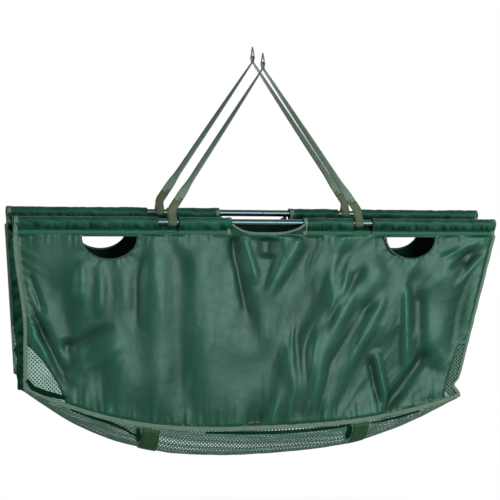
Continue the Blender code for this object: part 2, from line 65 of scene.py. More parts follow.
# Place of the two sides, as in the CAD, and which way is outward
BAG_X = 0.007
AXIS = {"front": Vector((BAG_X, -0.048, -0.412)), "rear": Vector((BAG_X, 0.048, -0.3875))}
REAR_LIFT = AXIS["rear"].z - AXIS["front"].z
MIRROR = {"front": -1.0, "rear": 1.0}
OUT = {"left": -1, "right": 1}

# Poles
POLE_RADIUS, POLE_WALL, RIM_CHAMFER = 0.008, 0.001, 0.0004
POLE_JOINT, POLE_ENDS = 0.022, {"left": -0.577, "right": 0.592}
PLUG_RADIUS, PLUG_DEPTH = 0.0066, 0.012
LATHE_SIDES = 36

# Sleeves
SLEEVE_END = 0.600
SLEEVE_GAP = 0.090
SLEEVE_RADIUS = 0.0107
SLEEVE_WALL = 0.0010
SLEEVE_POINT_Z = -0.0200
FLANGE_BOTTOM_Z, FLANGE_HALF = -0.0285, 0.0012
SLOT_INNER, SLOT_OUTER, SLOT_BOTTOM_Z = 0.218, 0.268, -0.0235
MOUTH_TAPE, MOUTH_THICK = 0.0095, 0.0009

# Cloth sides
PANEL_TOP_Z = -0.0289
PANEL_TUCK = 0.005
PANEL_THICK, PANEL_FOLD = 0.0009, 0.0028
LEFT_EDGE = {"front": (-0.6005, -0.5770), "rear": (-0.6040, -0.5830)}
RIGHT_EDGE = (0.6045, 0.5060)
LEFT_EDGE_REACH, RIGHT_EDGE_REACH = 0.65, 0.87
GAP_HALF = SLEEVE_GAP - 0.0015
FREE_EDGE_Z, FREE_EDGE_RISE, FREE_EDGE_OUT = -0.0225, 0.0205, 0.0112
TAPE_WIDTH, SIDE_TAPE_WIDTH, GAP_TAPE_WIDTH = 0.011, 0.0088, 0.0055
TAPE_HALF = 0.0016
FOLD_GAIN, CREASE_GAIN = 1.4, 2.1
FOLD_LIMIT = 0.024
BOTTOM_LOW_Z, BOTTOM_LOW_S = -0.4895, -0.030
LEFT_RISE, LEFT_REACH, LEFT_POWER = 0.117, 0.553, 2.6
RIGHT_RISE, RIGHT_REACH, RIGHT_POWER = 0.062, 0.535, 2.8
HOLE_CENTRES = (-0.380, 0.373)
HOLE_TOP_Z, HOLE_HALF_WIDTH, HOLE_DEPTH = -0.034, 0.064, 0.050
HOLE_TRIM, FACING_THICK = 0.0055, 0.0026
HEM_WIDTH, HEM_THICK = 0.0058, 0.0024
CORNER_WIDTH, CORNER_TUCKED, CORNER_HEIGHT, CORNER_POWER = 0.098, 0.048, 0.142, 1.3
CORNER_DROP = {"left": 0.036, "right": 0.012}
NOTCH_V, NOTCH_HALF, NOTCH_DEPTH = 0.925, 0.030, 0.015

# Netting
NET_PITCH, NET_THICK = 0.0062, 0.0009
FLOOR_STRAND, CORNER_STRAND = 0.0028, 0.0026

# Mesh floor, bands and gussets
POLE_SPACING = 0.096
FLOOR_DEPTH, FLOOR_POWER, FLOOR_HALF_LENGTH = 0.056, 2.6, 0.535
FLOOR_ENDS = (-0.570, 0.501)
BAND_CENTRES, BAND_WIDTH, BAND_THICK = (-0.282, 0.2425), 0.040, 0.0012
GUSSET_INSET, GUSSET_INSET_REAR, GUSSET_CLEAR, GUSSET_THICK = 0.002, 0.0045, 0.001, 0.0006

# The dark strip over the front left netting, the sagging hem and painted shadow in it: (s, z) points
CORNER_SHADOW_ROLL = ((-0.569, -0.356), (-0.555, -0.374), (-0.528, -0.386), (-0.503, -0.393), (-0.481, -0.399))
CORNER_ROLL_WIDTH, CORNER_ROLL_THICK = 0.0120, 0.0040

# Dark strips on the floor: loose netting bunched into rolls, and painted shadow in them: width, then (s, t)
# points, t from the front rim to the rear
FLOOR_SHADOW_ROLLS = (
    (0.0085, ((-0.150, 0.012), (-0.070, 0.017), (0.020, 0.023), (0.110, 0.022), (0.170, 0.018),
              (0.214, 0.015))),
    (0.0065, ((0.268, 0.024), (0.330, 0.026), (0.395, 0.018))),
    (0.0075, ((-0.470, 0.012), (-0.425, 0.016), (-0.380, 0.022), (-0.344, 0.045), (-0.312, 0.110))),
    (0.0110, ((-0.313, 0.020), (-0.309, 0.100), (-0.308, 0.200))),
    (0.0160, ((0.212, 0.020), (0.212, 0.100), (0.213, 0.200))),
)
ROLL_OUT, ROLL_THICK = 0.0014, 0.0016

# Lifting straps and rings
WEB_WIDTH, WEB_THICK, WEB_CURLED, WEB_GATHERED = 0.020, 0.0014, 0.0146, 0.0140
FOOT_S = {"front": 0.233, "rear": 0.237}
KINK_Z, BOX_LENGTH = 0.029, 0.024
APEX_S, APEX_Z, APEX_LEAN, NECK_DROP = -0.007, 0.377, 0.010, 0.013
RING_WIRE, RING_WIDTH, RING_HEIGHT, RING_CORNER = 0.00175, 0.024, 0.0255, 0.004

# Stitches: pitch, length and half thickness of each, on the cloth and on the straps
CLOTH_STITCH, STRAP_STITCH = (0.0036, 0.0025, 0.00032), (0.0030, 0.0021, 0.0003)

# Camera, from the photograph, and the setting
VIEW_TURN = 18.67
VIEW_DISTANCE = 3.44
VIEW_TARGET = Vector((BAG_X - 0.0423, -0.048, -0.4767))
VIEW_LENS = 105.27
STUDIO_SIZE, STUDIO_Z = 14.0, -1.30
LIGHT_AIM = Vector((0.0, 0.0, -0.60))
WHITE = (1, 1, 1, 1)

# One line a fold: top s, z, bottom s, z, half width, outward height. The first twelve are the CAD's.
FOLDS = (
    (-0.275, -0.06, -0.262, -0.44, 0.034, 0.009),
    (-0.222, -0.05, -0.205, -0.42, 0.030, -0.007),
    (-0.165, -0.05, -0.130, -0.43, 0.036, 0.007),
    (-0.085, -0.03, -0.045, -0.26, 0.030, -0.009),
    (0.000, -0.03, 0.010, -0.16, 0.040, -0.006),
    (0.300, -0.09, 0.060, -0.42, 0.042, 0.008),
    (0.215, -0.05, -0.010, -0.34, 0.036, -0.006),
    (0.400, -0.10, 0.330, -0.40, 0.038, -0.006),
    (0.440, -0.34, 0.300, -0.47, 0.036, -0.008),
    (0.535, -0.05, 0.500, -0.30, 0.032, -0.008),
    (-0.520, -0.12, -0.420, -0.36, 0.036, -0.008),
    (-0.450, -0.10, -0.330, -0.40, 0.040, 0.005),
)

# Smaller creases of the same form, which only the cloth that is seen has
CREASES = (
    (-0.400, -0.09, -0.402, -0.20, 0.014, 0.0030),
    (-0.444, -0.09, -0.452, -0.17, 0.013, 0.0028),
    (-0.313, -0.06, -0.316, -0.22, 0.018, -0.0035),
    (-0.087, -0.02, -0.052, -0.19, 0.011, -0.0045),
    (-0.060, -0.03, -0.030, -0.13, 0.012, 0.0030),
    (0.003, -0.02, 0.003, -0.075, 0.020, -0.0050),
    (0.096, -0.02, 0.008, -0.16, 0.016, 0.0040),
    (0.243, -0.11, 0.150, -0.24, 0.013, -0.0030),
    (0.264, -0.19, 0.160, -0.34, 0.015, -0.0030),
    (0.300, -0.18, 0.210, -0.34, 0.014, 0.0030),
    (0.360, -0.16, 0.360, -0.33, 0.012, 0.0045),
    (0.396, -0.17, 0.398, -0.33, 0.018, -0.0040),
    (0.416, -0.32, 0.306, -0.46, 0.014, -0.0085),
    (0.280, -0.32, 0.306, -0.44, 0.012, 0.0050),
    (0.269, -0.33, 0.291, -0.43, 0.011, -0.0040),
    (0.547, -0.045, 0.454, -0.085, 0.007, 0.0020),
    (0.560, -0.055, 0.480, -0.110, 0.008, -0.0022),
    (0.560, -0.080, 0.500, -0.150, 0.010, 0.0024),
    (-0.476, -0.27, -0.470, -0.34, 0.016, -0.0030),
    (-0.485, -0.29, -0.390, -0.245, 0.013, -0.0022),
    (-0.450, -0.34, -0.360, -0.280, 0.016, 0.0018),
    (-0.564, -0.12, -0.535, -0.20, 0.008, -0.0030),
    (-0.570, -0.17, -0.530, -0.26, 0.009, -0.0030),
    (-0.565, -0.23, -0.520, -0.31, 0.010, 0.0026),
    (0.580, -0.085, 0.496, -0.42, 0.013, -0.0080),
    (0.577, -0.058, 0.522, -0.098, 0.008, -0.0026),
    (-0.560, -0.20, -0.478, -0.36, 0.014, -0.0050),
)

# Layers of sharp wrinkles: pitch across, reach along, height
WRINKLES = ((0.125, 0.34, 0.0105), (0.055, 0.13, 0.0018), (0.021, 0.055, 0.0004))

# Cloths: name, dark and light colour, specular level, and whether a value on the mesh paints it between them:
# painted shade in valleys, hollows and under the poles, painted highlight on ridges
CLOTHS = {
    "cloth": ("coated_nylon", (0.0008, 0.009, 0.0045), (0.0052, 0.044, 0.0255), 0.20, True),
    "sleeve": ("sleeve_nylon", (0.0003, 0.004, 0.0018), (0.0110, 0.064, 0.0400), 0.07, True),
    "hem": ("hem_nylon", (0.0012, 0.014, 0.0075), (0.0032, 0.030, 0.017), 0.12, False),
    "gusset": ("gusset_nylon", (0.0008, 0.009, 0.0045), (0.0140, 0.072, 0.0440), 0.0, True),
    "lining": ("nylon_lining", (0.003, 0.013, 0.008), (0.005, 0.020, 0.012), 0.0, False),
}

# Tapes and webbing: name, dark and light colour, rib pitch, roughness, specular level
RIBBED = {
    "tape": ("binding_tape", (0.044, 0.082, 0.056), (0.072, 0.122, 0.086), 0.0011, 0.72, 0.3),
    "web": ("strap_webbing", (0.050, 0.084, 0.062), (0.088, 0.132, 0.100), 0.0016, 0.66, 0.3),
    "foot": ("strap_foot", (0.024, 0.038, 0.016), (0.050, 0.068, 0.034), 0.0016, 0.66, 0.3),
    "band": ("floor_webbing", (0.004, 0.026, 0.009), (0.015, 0.050, 0.018), 0.0018, 0.5, 0.1),
}

# The floor netting is a darker copy of the corner netting: painted shade, for netting that hangs under the
# bag or in a fold.
NETS = {
    "net": ("corner_netting", (0.130, 0.230, 0.195), (0.185, 0.310, 0.265)),
    "floor": ("shaded_floor_netting", (0.033, 0.082, 0.060), (0.056, 0.120, 0.092)),
}

# Plain ones: name, colour, roughness, metallic
PLAIN = {
    "thread": ("thread", (0.060, 0.115, 0.085), 0.6, 0.0),
    "plug": ("pole_plug", (0.015, 0.016, 0.016), 0.5, 0.0),
    "spigot": ("spigot_metal", (0.55, 0.57, 0.57), 0.32, 1.0),
}


def smooth(t):
    """Ease from 0 to 1, for numbers and arrays."""
    t = np.clip(t, 0.0, 1.0)
    return t * t * (3 - 2 * t)


def lerp(a, b, t):
    return a + (b - a) * t


def noise_at(x, y, seed):
    """Smooth noise from -1 to 1 at each x and y of two arrays."""
    values = [noise.noise(Vector((a, b, seed))) for a, b in zip(x.ravel(), y.ravel())]
    return np.array(values).reshape(x.shape)


def run_along(points):
    """Distance along a row of points, from 0."""
    return np.concatenate(([0], np.cumsum(np.linalg.norm(np.diff(points, axis=0), axis=1))))


def headings(path):
    """The direction of travel at each point of a path."""
    last = len(path) - 1
    return [(path[min(last, k + 1)] - path[max(0, k - 1)]).normalized() for k in range(last + 1)]


# Materials

class Nodes:
    """Adds shader nodes to a material or world."""

    def __init__(self, owner):
        owner.use_nodes = True
        self.tree = owner.node_tree

    def add(self, kind, inputs, **settings):
        """The outputs of a new node, whose inputs are values or outputs of other nodes."""
        node = self.tree.nodes.new("ShaderNode" + kind)
        for key, value in settings.items():
            setattr(node, key, value)
        self.fill(node, inputs)
        return node.outputs

    def fill(self, node, inputs):
        for key, value in inputs.items():
            if isinstance(value, bpy.types.NodeSocket):
                self.tree.links.new(value, node.inputs[key])
            else:
                node.inputs[key].default_value = value

    def shade(self, **inputs):
        """Set or link inputs of the main shader, an underscore for each space in their names."""
        shader = self.tree.nodes["Principled BSDF"]
        self.fill(shader, {key.replace("_", " "): value for key, value in inputs.items()})
        return shader.outputs[0]

    def math(self, operation, a, b):
        return self.add("Math", {0: a, 1: b}, operation=operation)[0]

    def spot(self, key, value):
        """The place on the mesh in metres, scaled or turned."""
        uv = self.add("UVMap", {}, uv_map="metres")["UV"]
        return self.add("Mapping", {"Vector": uv, key: value})["Vector"]

    def noise(self, scale, detail=4.0, stretch=(1.0, 1.0, 1.0)):
        inputs = {"Vector": self.spot("Scale", stretch), "Scale": scale, "Detail": detail}
        return self.add("TexNoise", inputs)["Fac"]

    def wave(self, pitch, direction="X", turn=0.0):
        """Rounded ribs from 0 to 1, a rib each pitch metres."""
        spot = self.spot("Rotation", (0.0, 0.0, math.radians(turn)))
        inputs = {"Vector": spot, "Scale": math.pi / (10 * pitch), "Distortion": 0.0}
        return self.add("TexWave", inputs, bands_direction=direction, wave_profile="SIN")["Fac"]

    def mix(self, low, high, factor):
        """A colour between two, by a factor from 0 to 1."""
        inputs = {"A": (*low, 1.0), "B": (*high, 1.0), "Factor": factor}
        return self.add("Mix", inputs, data_type="RGBA")["Result"]

    def range(self, value, out_low, out_high, low=0.3, high=0.7, **settings):
        inputs = {"Value": value, 1: low, 2: high, 3: out_low, 4: out_high}
        return self.add("MapRange", inputs, **settings)["Result"]

    def bump(self, height, distance, strength):
        return self.add("Bump", {"Height": height, "Distance": distance, "Strength": strength})["Normal"]


def new_material(name, colour, roughness, metallic=0.0, specular=0.5):
    """A material of constant values, and its nodes."""
    mat = bpy.data.materials.new(name)
    mat.diffuse_color = (*colour, 1.0)
    n = Nodes(mat)
    n.shade(Base_Color=(*colour, 1.0), Roughness=roughness, Metallic=metallic, Specular_IOR_Level=specular)
    return mat, n


def cloth_material(name, dark, light, specular, paints_shade):
    """Coated nylon: a tight plain weave under a satin coating, with fine random crinkles.

    Where it takes painted shade, a value on its mesh paints it lighter on its ridges and darker in its
    valleys, as light and shade fall on the folds.
    """
    mat, n = new_material(name, light, 0.36, specular=specular)
    patch = n.range(n.noise(7.0), 0.0, 0.25 if paints_shade else 1.0)
    if paints_shade:
        # Painted shade and highlight: 0 on the mesh gives the dark colour of hollows, 1 the light colour of
        # ridges.
        painted_shade = n.add("Attribute", {}, attribute_name="painted_shade")["Fac"]
        patch = n.math("ADD", patch, n.math("MULTIPLY", painted_shade, 0.85))
    weave = n.math("MULTIPLY", n.wave(0.0007), n.wave(0.0007, "Y"))
    crinkle = n.math("MULTIPLY", n.noise(34.0, 6.0), 10.0)
    slubs = n.math("MULTIPLY", n.noise(110.0, stretch=(1.0, 5.0, 1.0)), 1.6)
    threads = n.math("ADD", slubs, n.math("MULTIPLY", weave, 0.3))
    n.shade(
        Base_Color=n.mix(dark, light, patch),
        Roughness=n.range(n.noise(60.0, 5.0), 0.31, 0.40),
        Normal=n.bump(n.math("ADD", crinkle, threads), 0.00018, 0.45),
        Specular_Tint=(0.66, 1.0, 0.88, 1.0),
    )
    return mat


def ribbed_material(name, dark, light, pitch, roughness, specular):
    """Woven tape or webbing: ribs across it, picks along it, and a little colour change."""
    mat, n = new_material(name, light, roughness, specular=specular)
    weave = n.math("MULTIPLY", n.wave(pitch), n.wave(pitch * 1.6, "Y"))
    patch = n.range(n.noise(45.0), 0.0, 0.5)
    shade = n.math("ADD", patch, n.math("MULTIPLY", weave, 0.5))
    n.shade(Base_Color=n.mix(dark, light, shade), Normal=n.bump(weave, 0.00025, 0.6))
    return mat


def netting_material(name, dark, light):
    """Knitted polyester strands."""
    mat, n = new_material(name, light, 0.7, specular=0.2)
    strands = n.wave(0.0009, turn=40.0)
    n.shade(Base_Color=n.mix(dark, light, n.noise(40.0, 3.0)), Normal=n.bump(strands, 0.0002, 0.8))
    return mat


def tube_material():
    """Dark anodised aluminium tube, with fine drawn lines along it."""
    mat, n = new_material("pole_tube", (0.035, 0.060, 0.066), 0.26, 1.0)
    lines = n.noise(1.0, stretch=(3.0, 900.0, 1.0))
    colour = n.mix((0.026, 0.048, 0.054), (0.050, 0.080, 0.086), lines)
    n.shade(Base_Color=colour, Roughness=n.range(lines, 0.20, 0.34))
    return mat


def plain_material(name, colour, roughness, metallic, grain=250.0, spread=(0.06, 0.08)):
    """Metal or plastic whose gloss varies a little."""
    mat, n = new_material(name, colour, roughness, metallic)
    n.shade(Roughness=n.range(n.noise(grain), roughness - spread[0], roughness + spread[1]))
    return mat


def make_materials():
    mats = {key: cloth_material(*row) for key, row in CLOTHS.items()}
    mats |= {key: ribbed_material(*row) for key, row in RIBBED.items()}
    mats |= {key: netting_material(*row) for key, row in NETS.items()}
    mats |= {key: plain_material(*row) for key, row in PLAIN.items()}
    mats["pole"] = tube_material()
    mats["steel"] = plain_material("ring_steel", (0.13, 0.15, 0.145), 0.3, 1.0, 300.0, (0.08, 0.10))
    return mats


# Mesh helpers

def make_mesh(name, points, faces, uvs, mat):
    """An object from points, faces and a (u, v) in metres for each point."""
    mesh = bpy.data.meshes.new(name)
    mesh.from_pydata([tuple(p) for p in points], [], faces)
    layer = mesh.uv_layers.new(name="metres")
    corners = np.empty(len(mesh.loops), np.int32)
    mesh.loops.foreach_get("vertex_index", corners)
    layer.data.foreach_set("uv", np.asarray(uvs, np.float32)[corners].ravel())
    mesh.materials.append(mat)
    mesh.shade_smooth()
    obj = bpy.data.objects.new(name, mesh)
    bpy.context.collection.objects.link(obj)
    return obj


def edit_mesh(obj, change):
    """Run a change on an object's mesh, as a bmesh."""
    bm = bmesh.new()
    bm.from_mesh(obj.data)
    change(bm)
    bm.to_mesh(obj.data)
    bm.free()
    return obj


def tidy_normals(obj):
    return edit_mesh(obj, lambda bm: bmesh.ops.recalc_face_normals(bm, faces=bm.faces))


def drop_loose(bm):
    """Remove the points that no face uses."""
    bmesh.ops.delete(bm, geom=[v for v in bm.verts if not v.link_faces], context="VERTS")


def grid_faces(columns, rows, keep=None, wrap=False):
    """Faces of a [column][row] grid. Keep says which cells stay, and wrap joins the last row to the first."""
    faces = []
    for i in range(columns - 1):
        for j in range(rows if wrap else rows - 1):
            if keep is None or keep[i, j]:
                k = (j + 1) % rows
                faces.append((i * rows + j, (i + 1) * rows + j, (i + 1) * rows + k, i * rows + k))
    return faces


def tube_faces(columns, rows, closed=False):
    """Faces of a tube of rings, whose ends join up or are capped."""
    faces = grid_faces(columns, rows, wrap=True)
    last = (columns - 1) * rows
    if closed:
        return faces + [(last + j, j, (j + 1) % rows, last + (j + 1) % rows) for j in range(rows)]
    return faces + [tuple(range(rows)), tuple(range(last + rows - 1, last - 1, -1))]


def make_grid(name, points, uvs, mat, keep=None, wrap=False, painted_shade=None):
    """A sheet from a [column][row] grid, with a painted-shade value from 0 to 1 at each point, which paints
    the cloth dark in hollows and light on ridges.
    """
    faces = grid_faces(*points.shape[:2], keep, wrap)
    obj = make_mesh(name, points.reshape(-1, 3), faces, uvs.reshape(-1, 2), mat)
    # Painted shade, kept on the mesh for the cloth materials.
    if painted_shade is not None:
        layer = obj.data.attributes.new("painted_shade", "FLOAT", "POINT")
        layer.data.foreach_set("value", np.clip(painted_shade, 0, 1).ravel().astype(np.float32))
    if keep is not None:
        edit_mesh(obj, drop_loose)
    return obj


def middles(field):
    """A [column][row] field at the middle of each cell."""
    return (field[:-1, :-1] + field[1:, 1:]) / 2


def solidify(obj, thick, offset=0.0):
    """Give a sheet its thickness, in the mesh itself."""
    modifier = obj.modifiers.new("thickness", "SOLIDIFY")
    modifier.thickness = thick
    modifier.offset = offset
    mesh = bpy.data.meshes.new_from_object(obj.evaluated_get(bpy.context.evaluated_depsgraph_get()))
    obj.modifiers.clear()
    obj.data = mesh


def line_back(obj, thick, outward, lining):
    """Give a sheet its thickness, with the lining on the faces that look away from outward."""
    obj.data.materials.append(lining)
    solidify(obj, thick)
    for polygon in obj.data.polygons:
        polygon.material_index = 0 if polygon.normal.dot(outward) > 0 else 1


def ribbon_section(width, thick, bulge=0.25):
    """A tape's section with rounded edges: (across, through) pairs."""
    half, t = width / 2, thick / 2
    across = (-half + t * bulge, -half * 0.5, 0, half * 0.5, half - t * bulge)
    return [(a, -t) for a in across] + [(half, 0)] + [(a, t) for a in across[::-1]] + [(-half, 0)]


def sweep(name, frames, section, mat, closed=False):
    """Run a section of (across, through) pairs along frames of (centre, across, through) vectors."""
    points, uvs, run = [], [], 0.0
    girths = run_along(section)
    for k, (centre, across, through) in enumerate(frames):
        if k:
            run += (centre - frames[k - 1][0]).length
        points += [centre + across * a + through * b for a, b in section]
        uvs += [(run, girth) for girth in girths]
    return tidy_normals(make_mesh(name, points, tube_faces(len(frames), len(section), closed), uvs, mat))


def place(obj, side, node=None, body="side"):
    """Move a piece from its pole's centre line to its place, hide the CAD part it stands for, and let it
    ride.
    """
    obj.data.transform(Matrix.Translation(AXIS[side]))
    if node:
        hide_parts(f"{side}_{node}")
    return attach(obj, f"{side}_{body}")


def across_sides(obj, node=None):
    """A piece that spans the two sides: bake its place into its mesh, and hide the CAD part it stands for."""
    if node:
        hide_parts(node)
    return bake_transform(obj)


# Cloth side: its outline and surface

def edge_at(side, hand, v):
    """s of a side's left or right edge, v from its top to its foot."""
    if hand == "right":
        notch = NOTCH_DEPTH * np.exp(-((v - NOTCH_V) / NOTCH_HALF) ** 2) if side == "front" else 0.0
        return lerp(*RIGHT_EDGE, np.minimum(1.0, v / RIGHT_EDGE_REACH)) - notch
    return lerp(*LEFT_EDGE[side], smooth(v / LEFT_EDGE_REACH) if side == "front" else v)


def bottom_z(s):
    d = np.asarray(s, float) - BOTTOM_LOW_S
    left = LEFT_RISE * (np.maximum(-d, 0) / LEFT_REACH) ** LEFT_POWER
    right = RIGHT_RISE * (np.maximum(d, 0) / RIGHT_REACH) ** RIGHT_POWER
    return BOTTOM_LOW_Z + left + right


def height_share(s, z):
    """v of a point: its share of the way down the side."""
    return (PANEL_TOP_Z - z) / (PANEL_TOP_Z - bottom_z(s))


def fold_height(s, z, folds):
    """How far the hanging cloth stands out of its plane."""
    total = np.zeros_like(s)
    for s0, z0, s1, z1, half, height in folds:
        along = np.array((s1 - s0, z1 - z0))
        length = np.hypot(*along)
        t = ((s - s0) * along[0] + (z - z0) * along[1]) / length ** 2
        across = np.abs((s - s0) * along[1] - (z - z0) * along[0]) / length
        ends = smooth((t + 0.15) / 0.3) * smooth((1.25 - t) / 0.4)
        total += height * ends * np.exp(-((across / half) ** 2))
    return total


def calm(s, z):
    """Folds die away at the sewn edges and round the hand holes."""
    free = smooth((GAP_HALF + 0.015 - np.abs(s)) / 0.035)
    top = lerp(smooth((PANEL_TOP_Z - z) / 0.05), smooth((PANEL_TOP_Z - z) / 0.014), free)
    bottom = 0.25 + 0.75 * smooth((z - bottom_z(s)) / 0.06)
    holes = np.ones_like(s)
    for centre in HOLE_CENTRES:
        across = (s - centre) / (HOLE_HALF_WIDTH + 0.05)
        down = (z - HOLE_TOP_Z) / (HOLE_DEPTH + 0.05)
        holes = holes * smooth(1.6 * (np.hypot(across, down) - 0.55))
    return top * bottom * holes


def gathers(along, away, pitch, height, reach, seed):
    """Irregular puckers that start at a seam and die away from it."""
    away = np.maximum(away, 0)
    rough = noise_at(along / pitch, away * 12.0, seed)
    return height * (np.sign(rough) * np.abs(rough) ** 0.8) * np.exp(-away / reach)


def creased(x, y, seed):
    """Flat facets between sharp creases, from about -1 to 1."""
    return 1 - 3 * np.sqrt(noise_at(x, y, seed) ** 2 + 0.0016)


def slack(side, s):
    """The cloth hangs flatter on the left half of its outer face."""
    return lerp(0.55, 1.0, smooth((0.10 - MIRROR[side] * s) / 0.22))


def wrinkles(side, s, z):
    """Fine relief that only the visible cloth has."""
    seed = 3.1 if side == "front" else 17.4
    v = np.clip((PANEL_TOP_Z - z) / 0.42, 0, 1)
    left, right = s - edge_at(side, "left", v), edge_at(side, "right", v) - s
    seams = [
        (s, PANEL_TOP_Z - z, 0.008, 0.0020, 0.014, seed),
        (s, z - bottom_z(s), 0.010, 0.0046, 0.026, seed + 5),
        (z + 0.6 * left, left, 0.013, 0.0034, 0.022, seed + 9),
        (z + 0.8 * right, right, 0.015, 0.0034, 0.024, seed + 13),
    ]
    for centre in HOLE_CENTRES:
        angle = np.arctan2(s - centre, HOLE_TOP_Z - z)
        rim = np.hypot((s - centre) / HOLE_HALF_WIDTH, (z - HOLE_TOP_Z) / HOLE_DEPTH)
        seams.append((angle * 0.055, (rim - 1.0) * 0.055, 0.010, 0.0022, 0.018, seed + 21))
    relief = sum(gathers(*seam) for seam in seams)
    t = -MIRROR[side] * s
    turn = lerp(0.04, 0.72, smooth((t + 0.05) / 0.30)) * (1 - 0.5 * smooth((t - 0.38) / 0.15))
    across = t - turn * z
    bend = 0.5 * noise_at(s / 0.13, z / 0.13, seed + 50)
    patchy = 0.75 + 0.9 * noise_at(s / 0.11, z / 0.14, seed + 60)
    for pitch, reach, height in WRINKLES:
        facets = creased(across / pitch + bend, z / reach, seed + 700 * pitch)
        relief += height * slack(side, s) * patchy * facets
    return relief


def cloth_points(side, u, v, relief=True):
    """Points of the side's middle surface, u from left to right and v from top to bottom."""
    s = lerp(edge_at(side, "left", v), edge_at(side, "right", v), u)
    low = bottom_z(lerp(edge_at(side, "left", 1), edge_at(side, "right", 1), u))
    z = lerp(PANEL_TOP_Z, low, v)
    mirror = MIRROR[side]
    edges = smooth(u / 0.05) * smooth((1 - u) / 0.05)
    folds = FOLD_GAIN * slack(side, s) * fold_height(-mirror * s, z, FOLDS)
    folds += CREASE_GAIN * fold_height(-mirror * s, z, CREASES)
    depth = folds * calm(s, z) * edges
    if relief:
        side_strip = smooth((np.minimum(u, 1 - u) * 1.2 - 0.008) / 0.010)
        low_strip = smooth((z - low - 0.008) / 0.010)
        depth = depth + wrinkles(side, s, z) * side_strip * low_strip * smooth(v / 0.012)
    depth = FOLD_LIMIT * np.tanh(depth / FOLD_LIMIT)
    return np.stack((s, mirror * depth, z), -1)


def bare_points(side, u, v):
    """Cloth points as vectors, without the fine relief, for what is sewn to an edge."""
    return [Vector(p) for p in cloth_points(side, u, v, relief=False)]


def in_hole(s, z, grow):
    inside = np.zeros(s.shape, bool)
    for centre in HOLE_CENTRES:
        across = (s - centre) / (HOLE_HALF_WIDTH + grow)
        down = (HOLE_TOP_Z - z) / (HOLE_DEPTH + grow)
        inside |= (np.hypot(across, down) < 1) & (z < HOLE_TOP_Z + grow)
    return inside


def corner_centre(side, hand):
    edge = float(edge_at(side, hand, 1.0))
    return edge, float(bottom_z(edge)) - CORNER_DROP[hand]


def corner_width(side, hand):
    """The right front corner hangs in a fold, so that little of its netting shows."""
    return CORNER_TUCKED if (side, hand) == ("front", "right") else CORNER_WIDTH


def in_corner(side, hand, s, z, grow):
    centre_s, centre_z = corner_centre(side, hand)
    across = np.maximum(0.0, -OUT[hand] * (s - centre_s)) / (corner_width(side, hand) + grow)
    up = np.abs(z - centre_z) / (CORNER_HEIGHT + grow)
    return across ** CORNER_POWER + up ** CORNER_POWER < 1


def free_edge(side, s):
    """The free top edge in the gap: it dips between the sleeves, and passes outside the pole at its ends."""
    z = FREE_EDGE_Z + FREE_EDGE_RISE * np.minimum(1.0, np.abs(s) / GAP_HALF) ** 3.5
    out = FREE_EDGE_OUT * smooth((z - FREE_EDGE_Z) / 0.014)
    return MIRROR[side] * out, z


def neck_rows(side, top, rows=5):
    """Cloth above the panel's top row: it rises to the free edge, and tucks into the sleeves' seam."""
    s, y, z = (column[:, None] for column in top.T)
    edge_y, edge_z = free_edge(side, s)
    in_gap = np.abs(s) < GAP_HALF
    end_y = np.where(in_gap, edge_y, y)
    end_z = np.where(in_gap, edge_z - 0.0025, z + PANEL_TUCK)
    t = np.linspace(1, 0, rows, endpoint=False)[None, :]
    return np.stack((s + 0 * t, lerp(y, end_y, t ** 1.5), lerp(z, end_z, t)), -1)


def blurred(field, reach):
    """A [column][row] field averaged twice over reach cells each way."""
    span = 2 * reach + 1
    for axis in (0, 1, 0, 1):
        margins = [(0, 0), (0, 0)]
        margins[axis] = (reach, reach)
        wide = np.pad(field, margins, mode="edge")
        cells = field.shape[axis]
        field = sum(np.take(wide, range(k, k + cells), axis) for k in range(span)) / span
    return field


def ridges(depth):
    """How far each point is up a small or a broad fold, about 0 to 1, which sets the cloth's painted shade.
    """
    fine, broad = depth - blurred(depth, 4), depth - blurred(depth, 12)
    return 0.5 + 0.3 * fine / 0.0022 + 0.2 * broad / 0.0060


def side_panel(side, mats):
    inner = np.linspace(PANEL_FOLD, 1 - PANEL_FOLD, 400)
    down = np.linspace(0.0, 1 - PANEL_FOLD, 150)
    points = cloth_points(side, *np.meshgrid(inner, down, indexing="ij"))
    points = np.concatenate((neck_rows(side, points[:, 0]), points), 1)
    mid_s, mid_z = middles(points[..., 0]), middles(points[..., 2])
    keep = ~in_hole(mid_s, mid_z, 0.0025)
    for hand in HANDS:
        keep &= ~in_corner(side, hand, mid_s, mid_z, -0.002)
    # Painted shade and highlight: cloth low in a fold is painted darker, cloth high on one lighter.
    painted_shade = ridges(MIRROR[side] * points[..., 1])
    panel = make_grid(f"{side}_cloth", points, points[..., ::2], mats["cloth"], keep, painted_shade=painted_shade)
    line_back(panel, PANEL_THICK, Y * MIRROR[side], mats["lining"])
    return place(panel, side, "panel")


# Netting

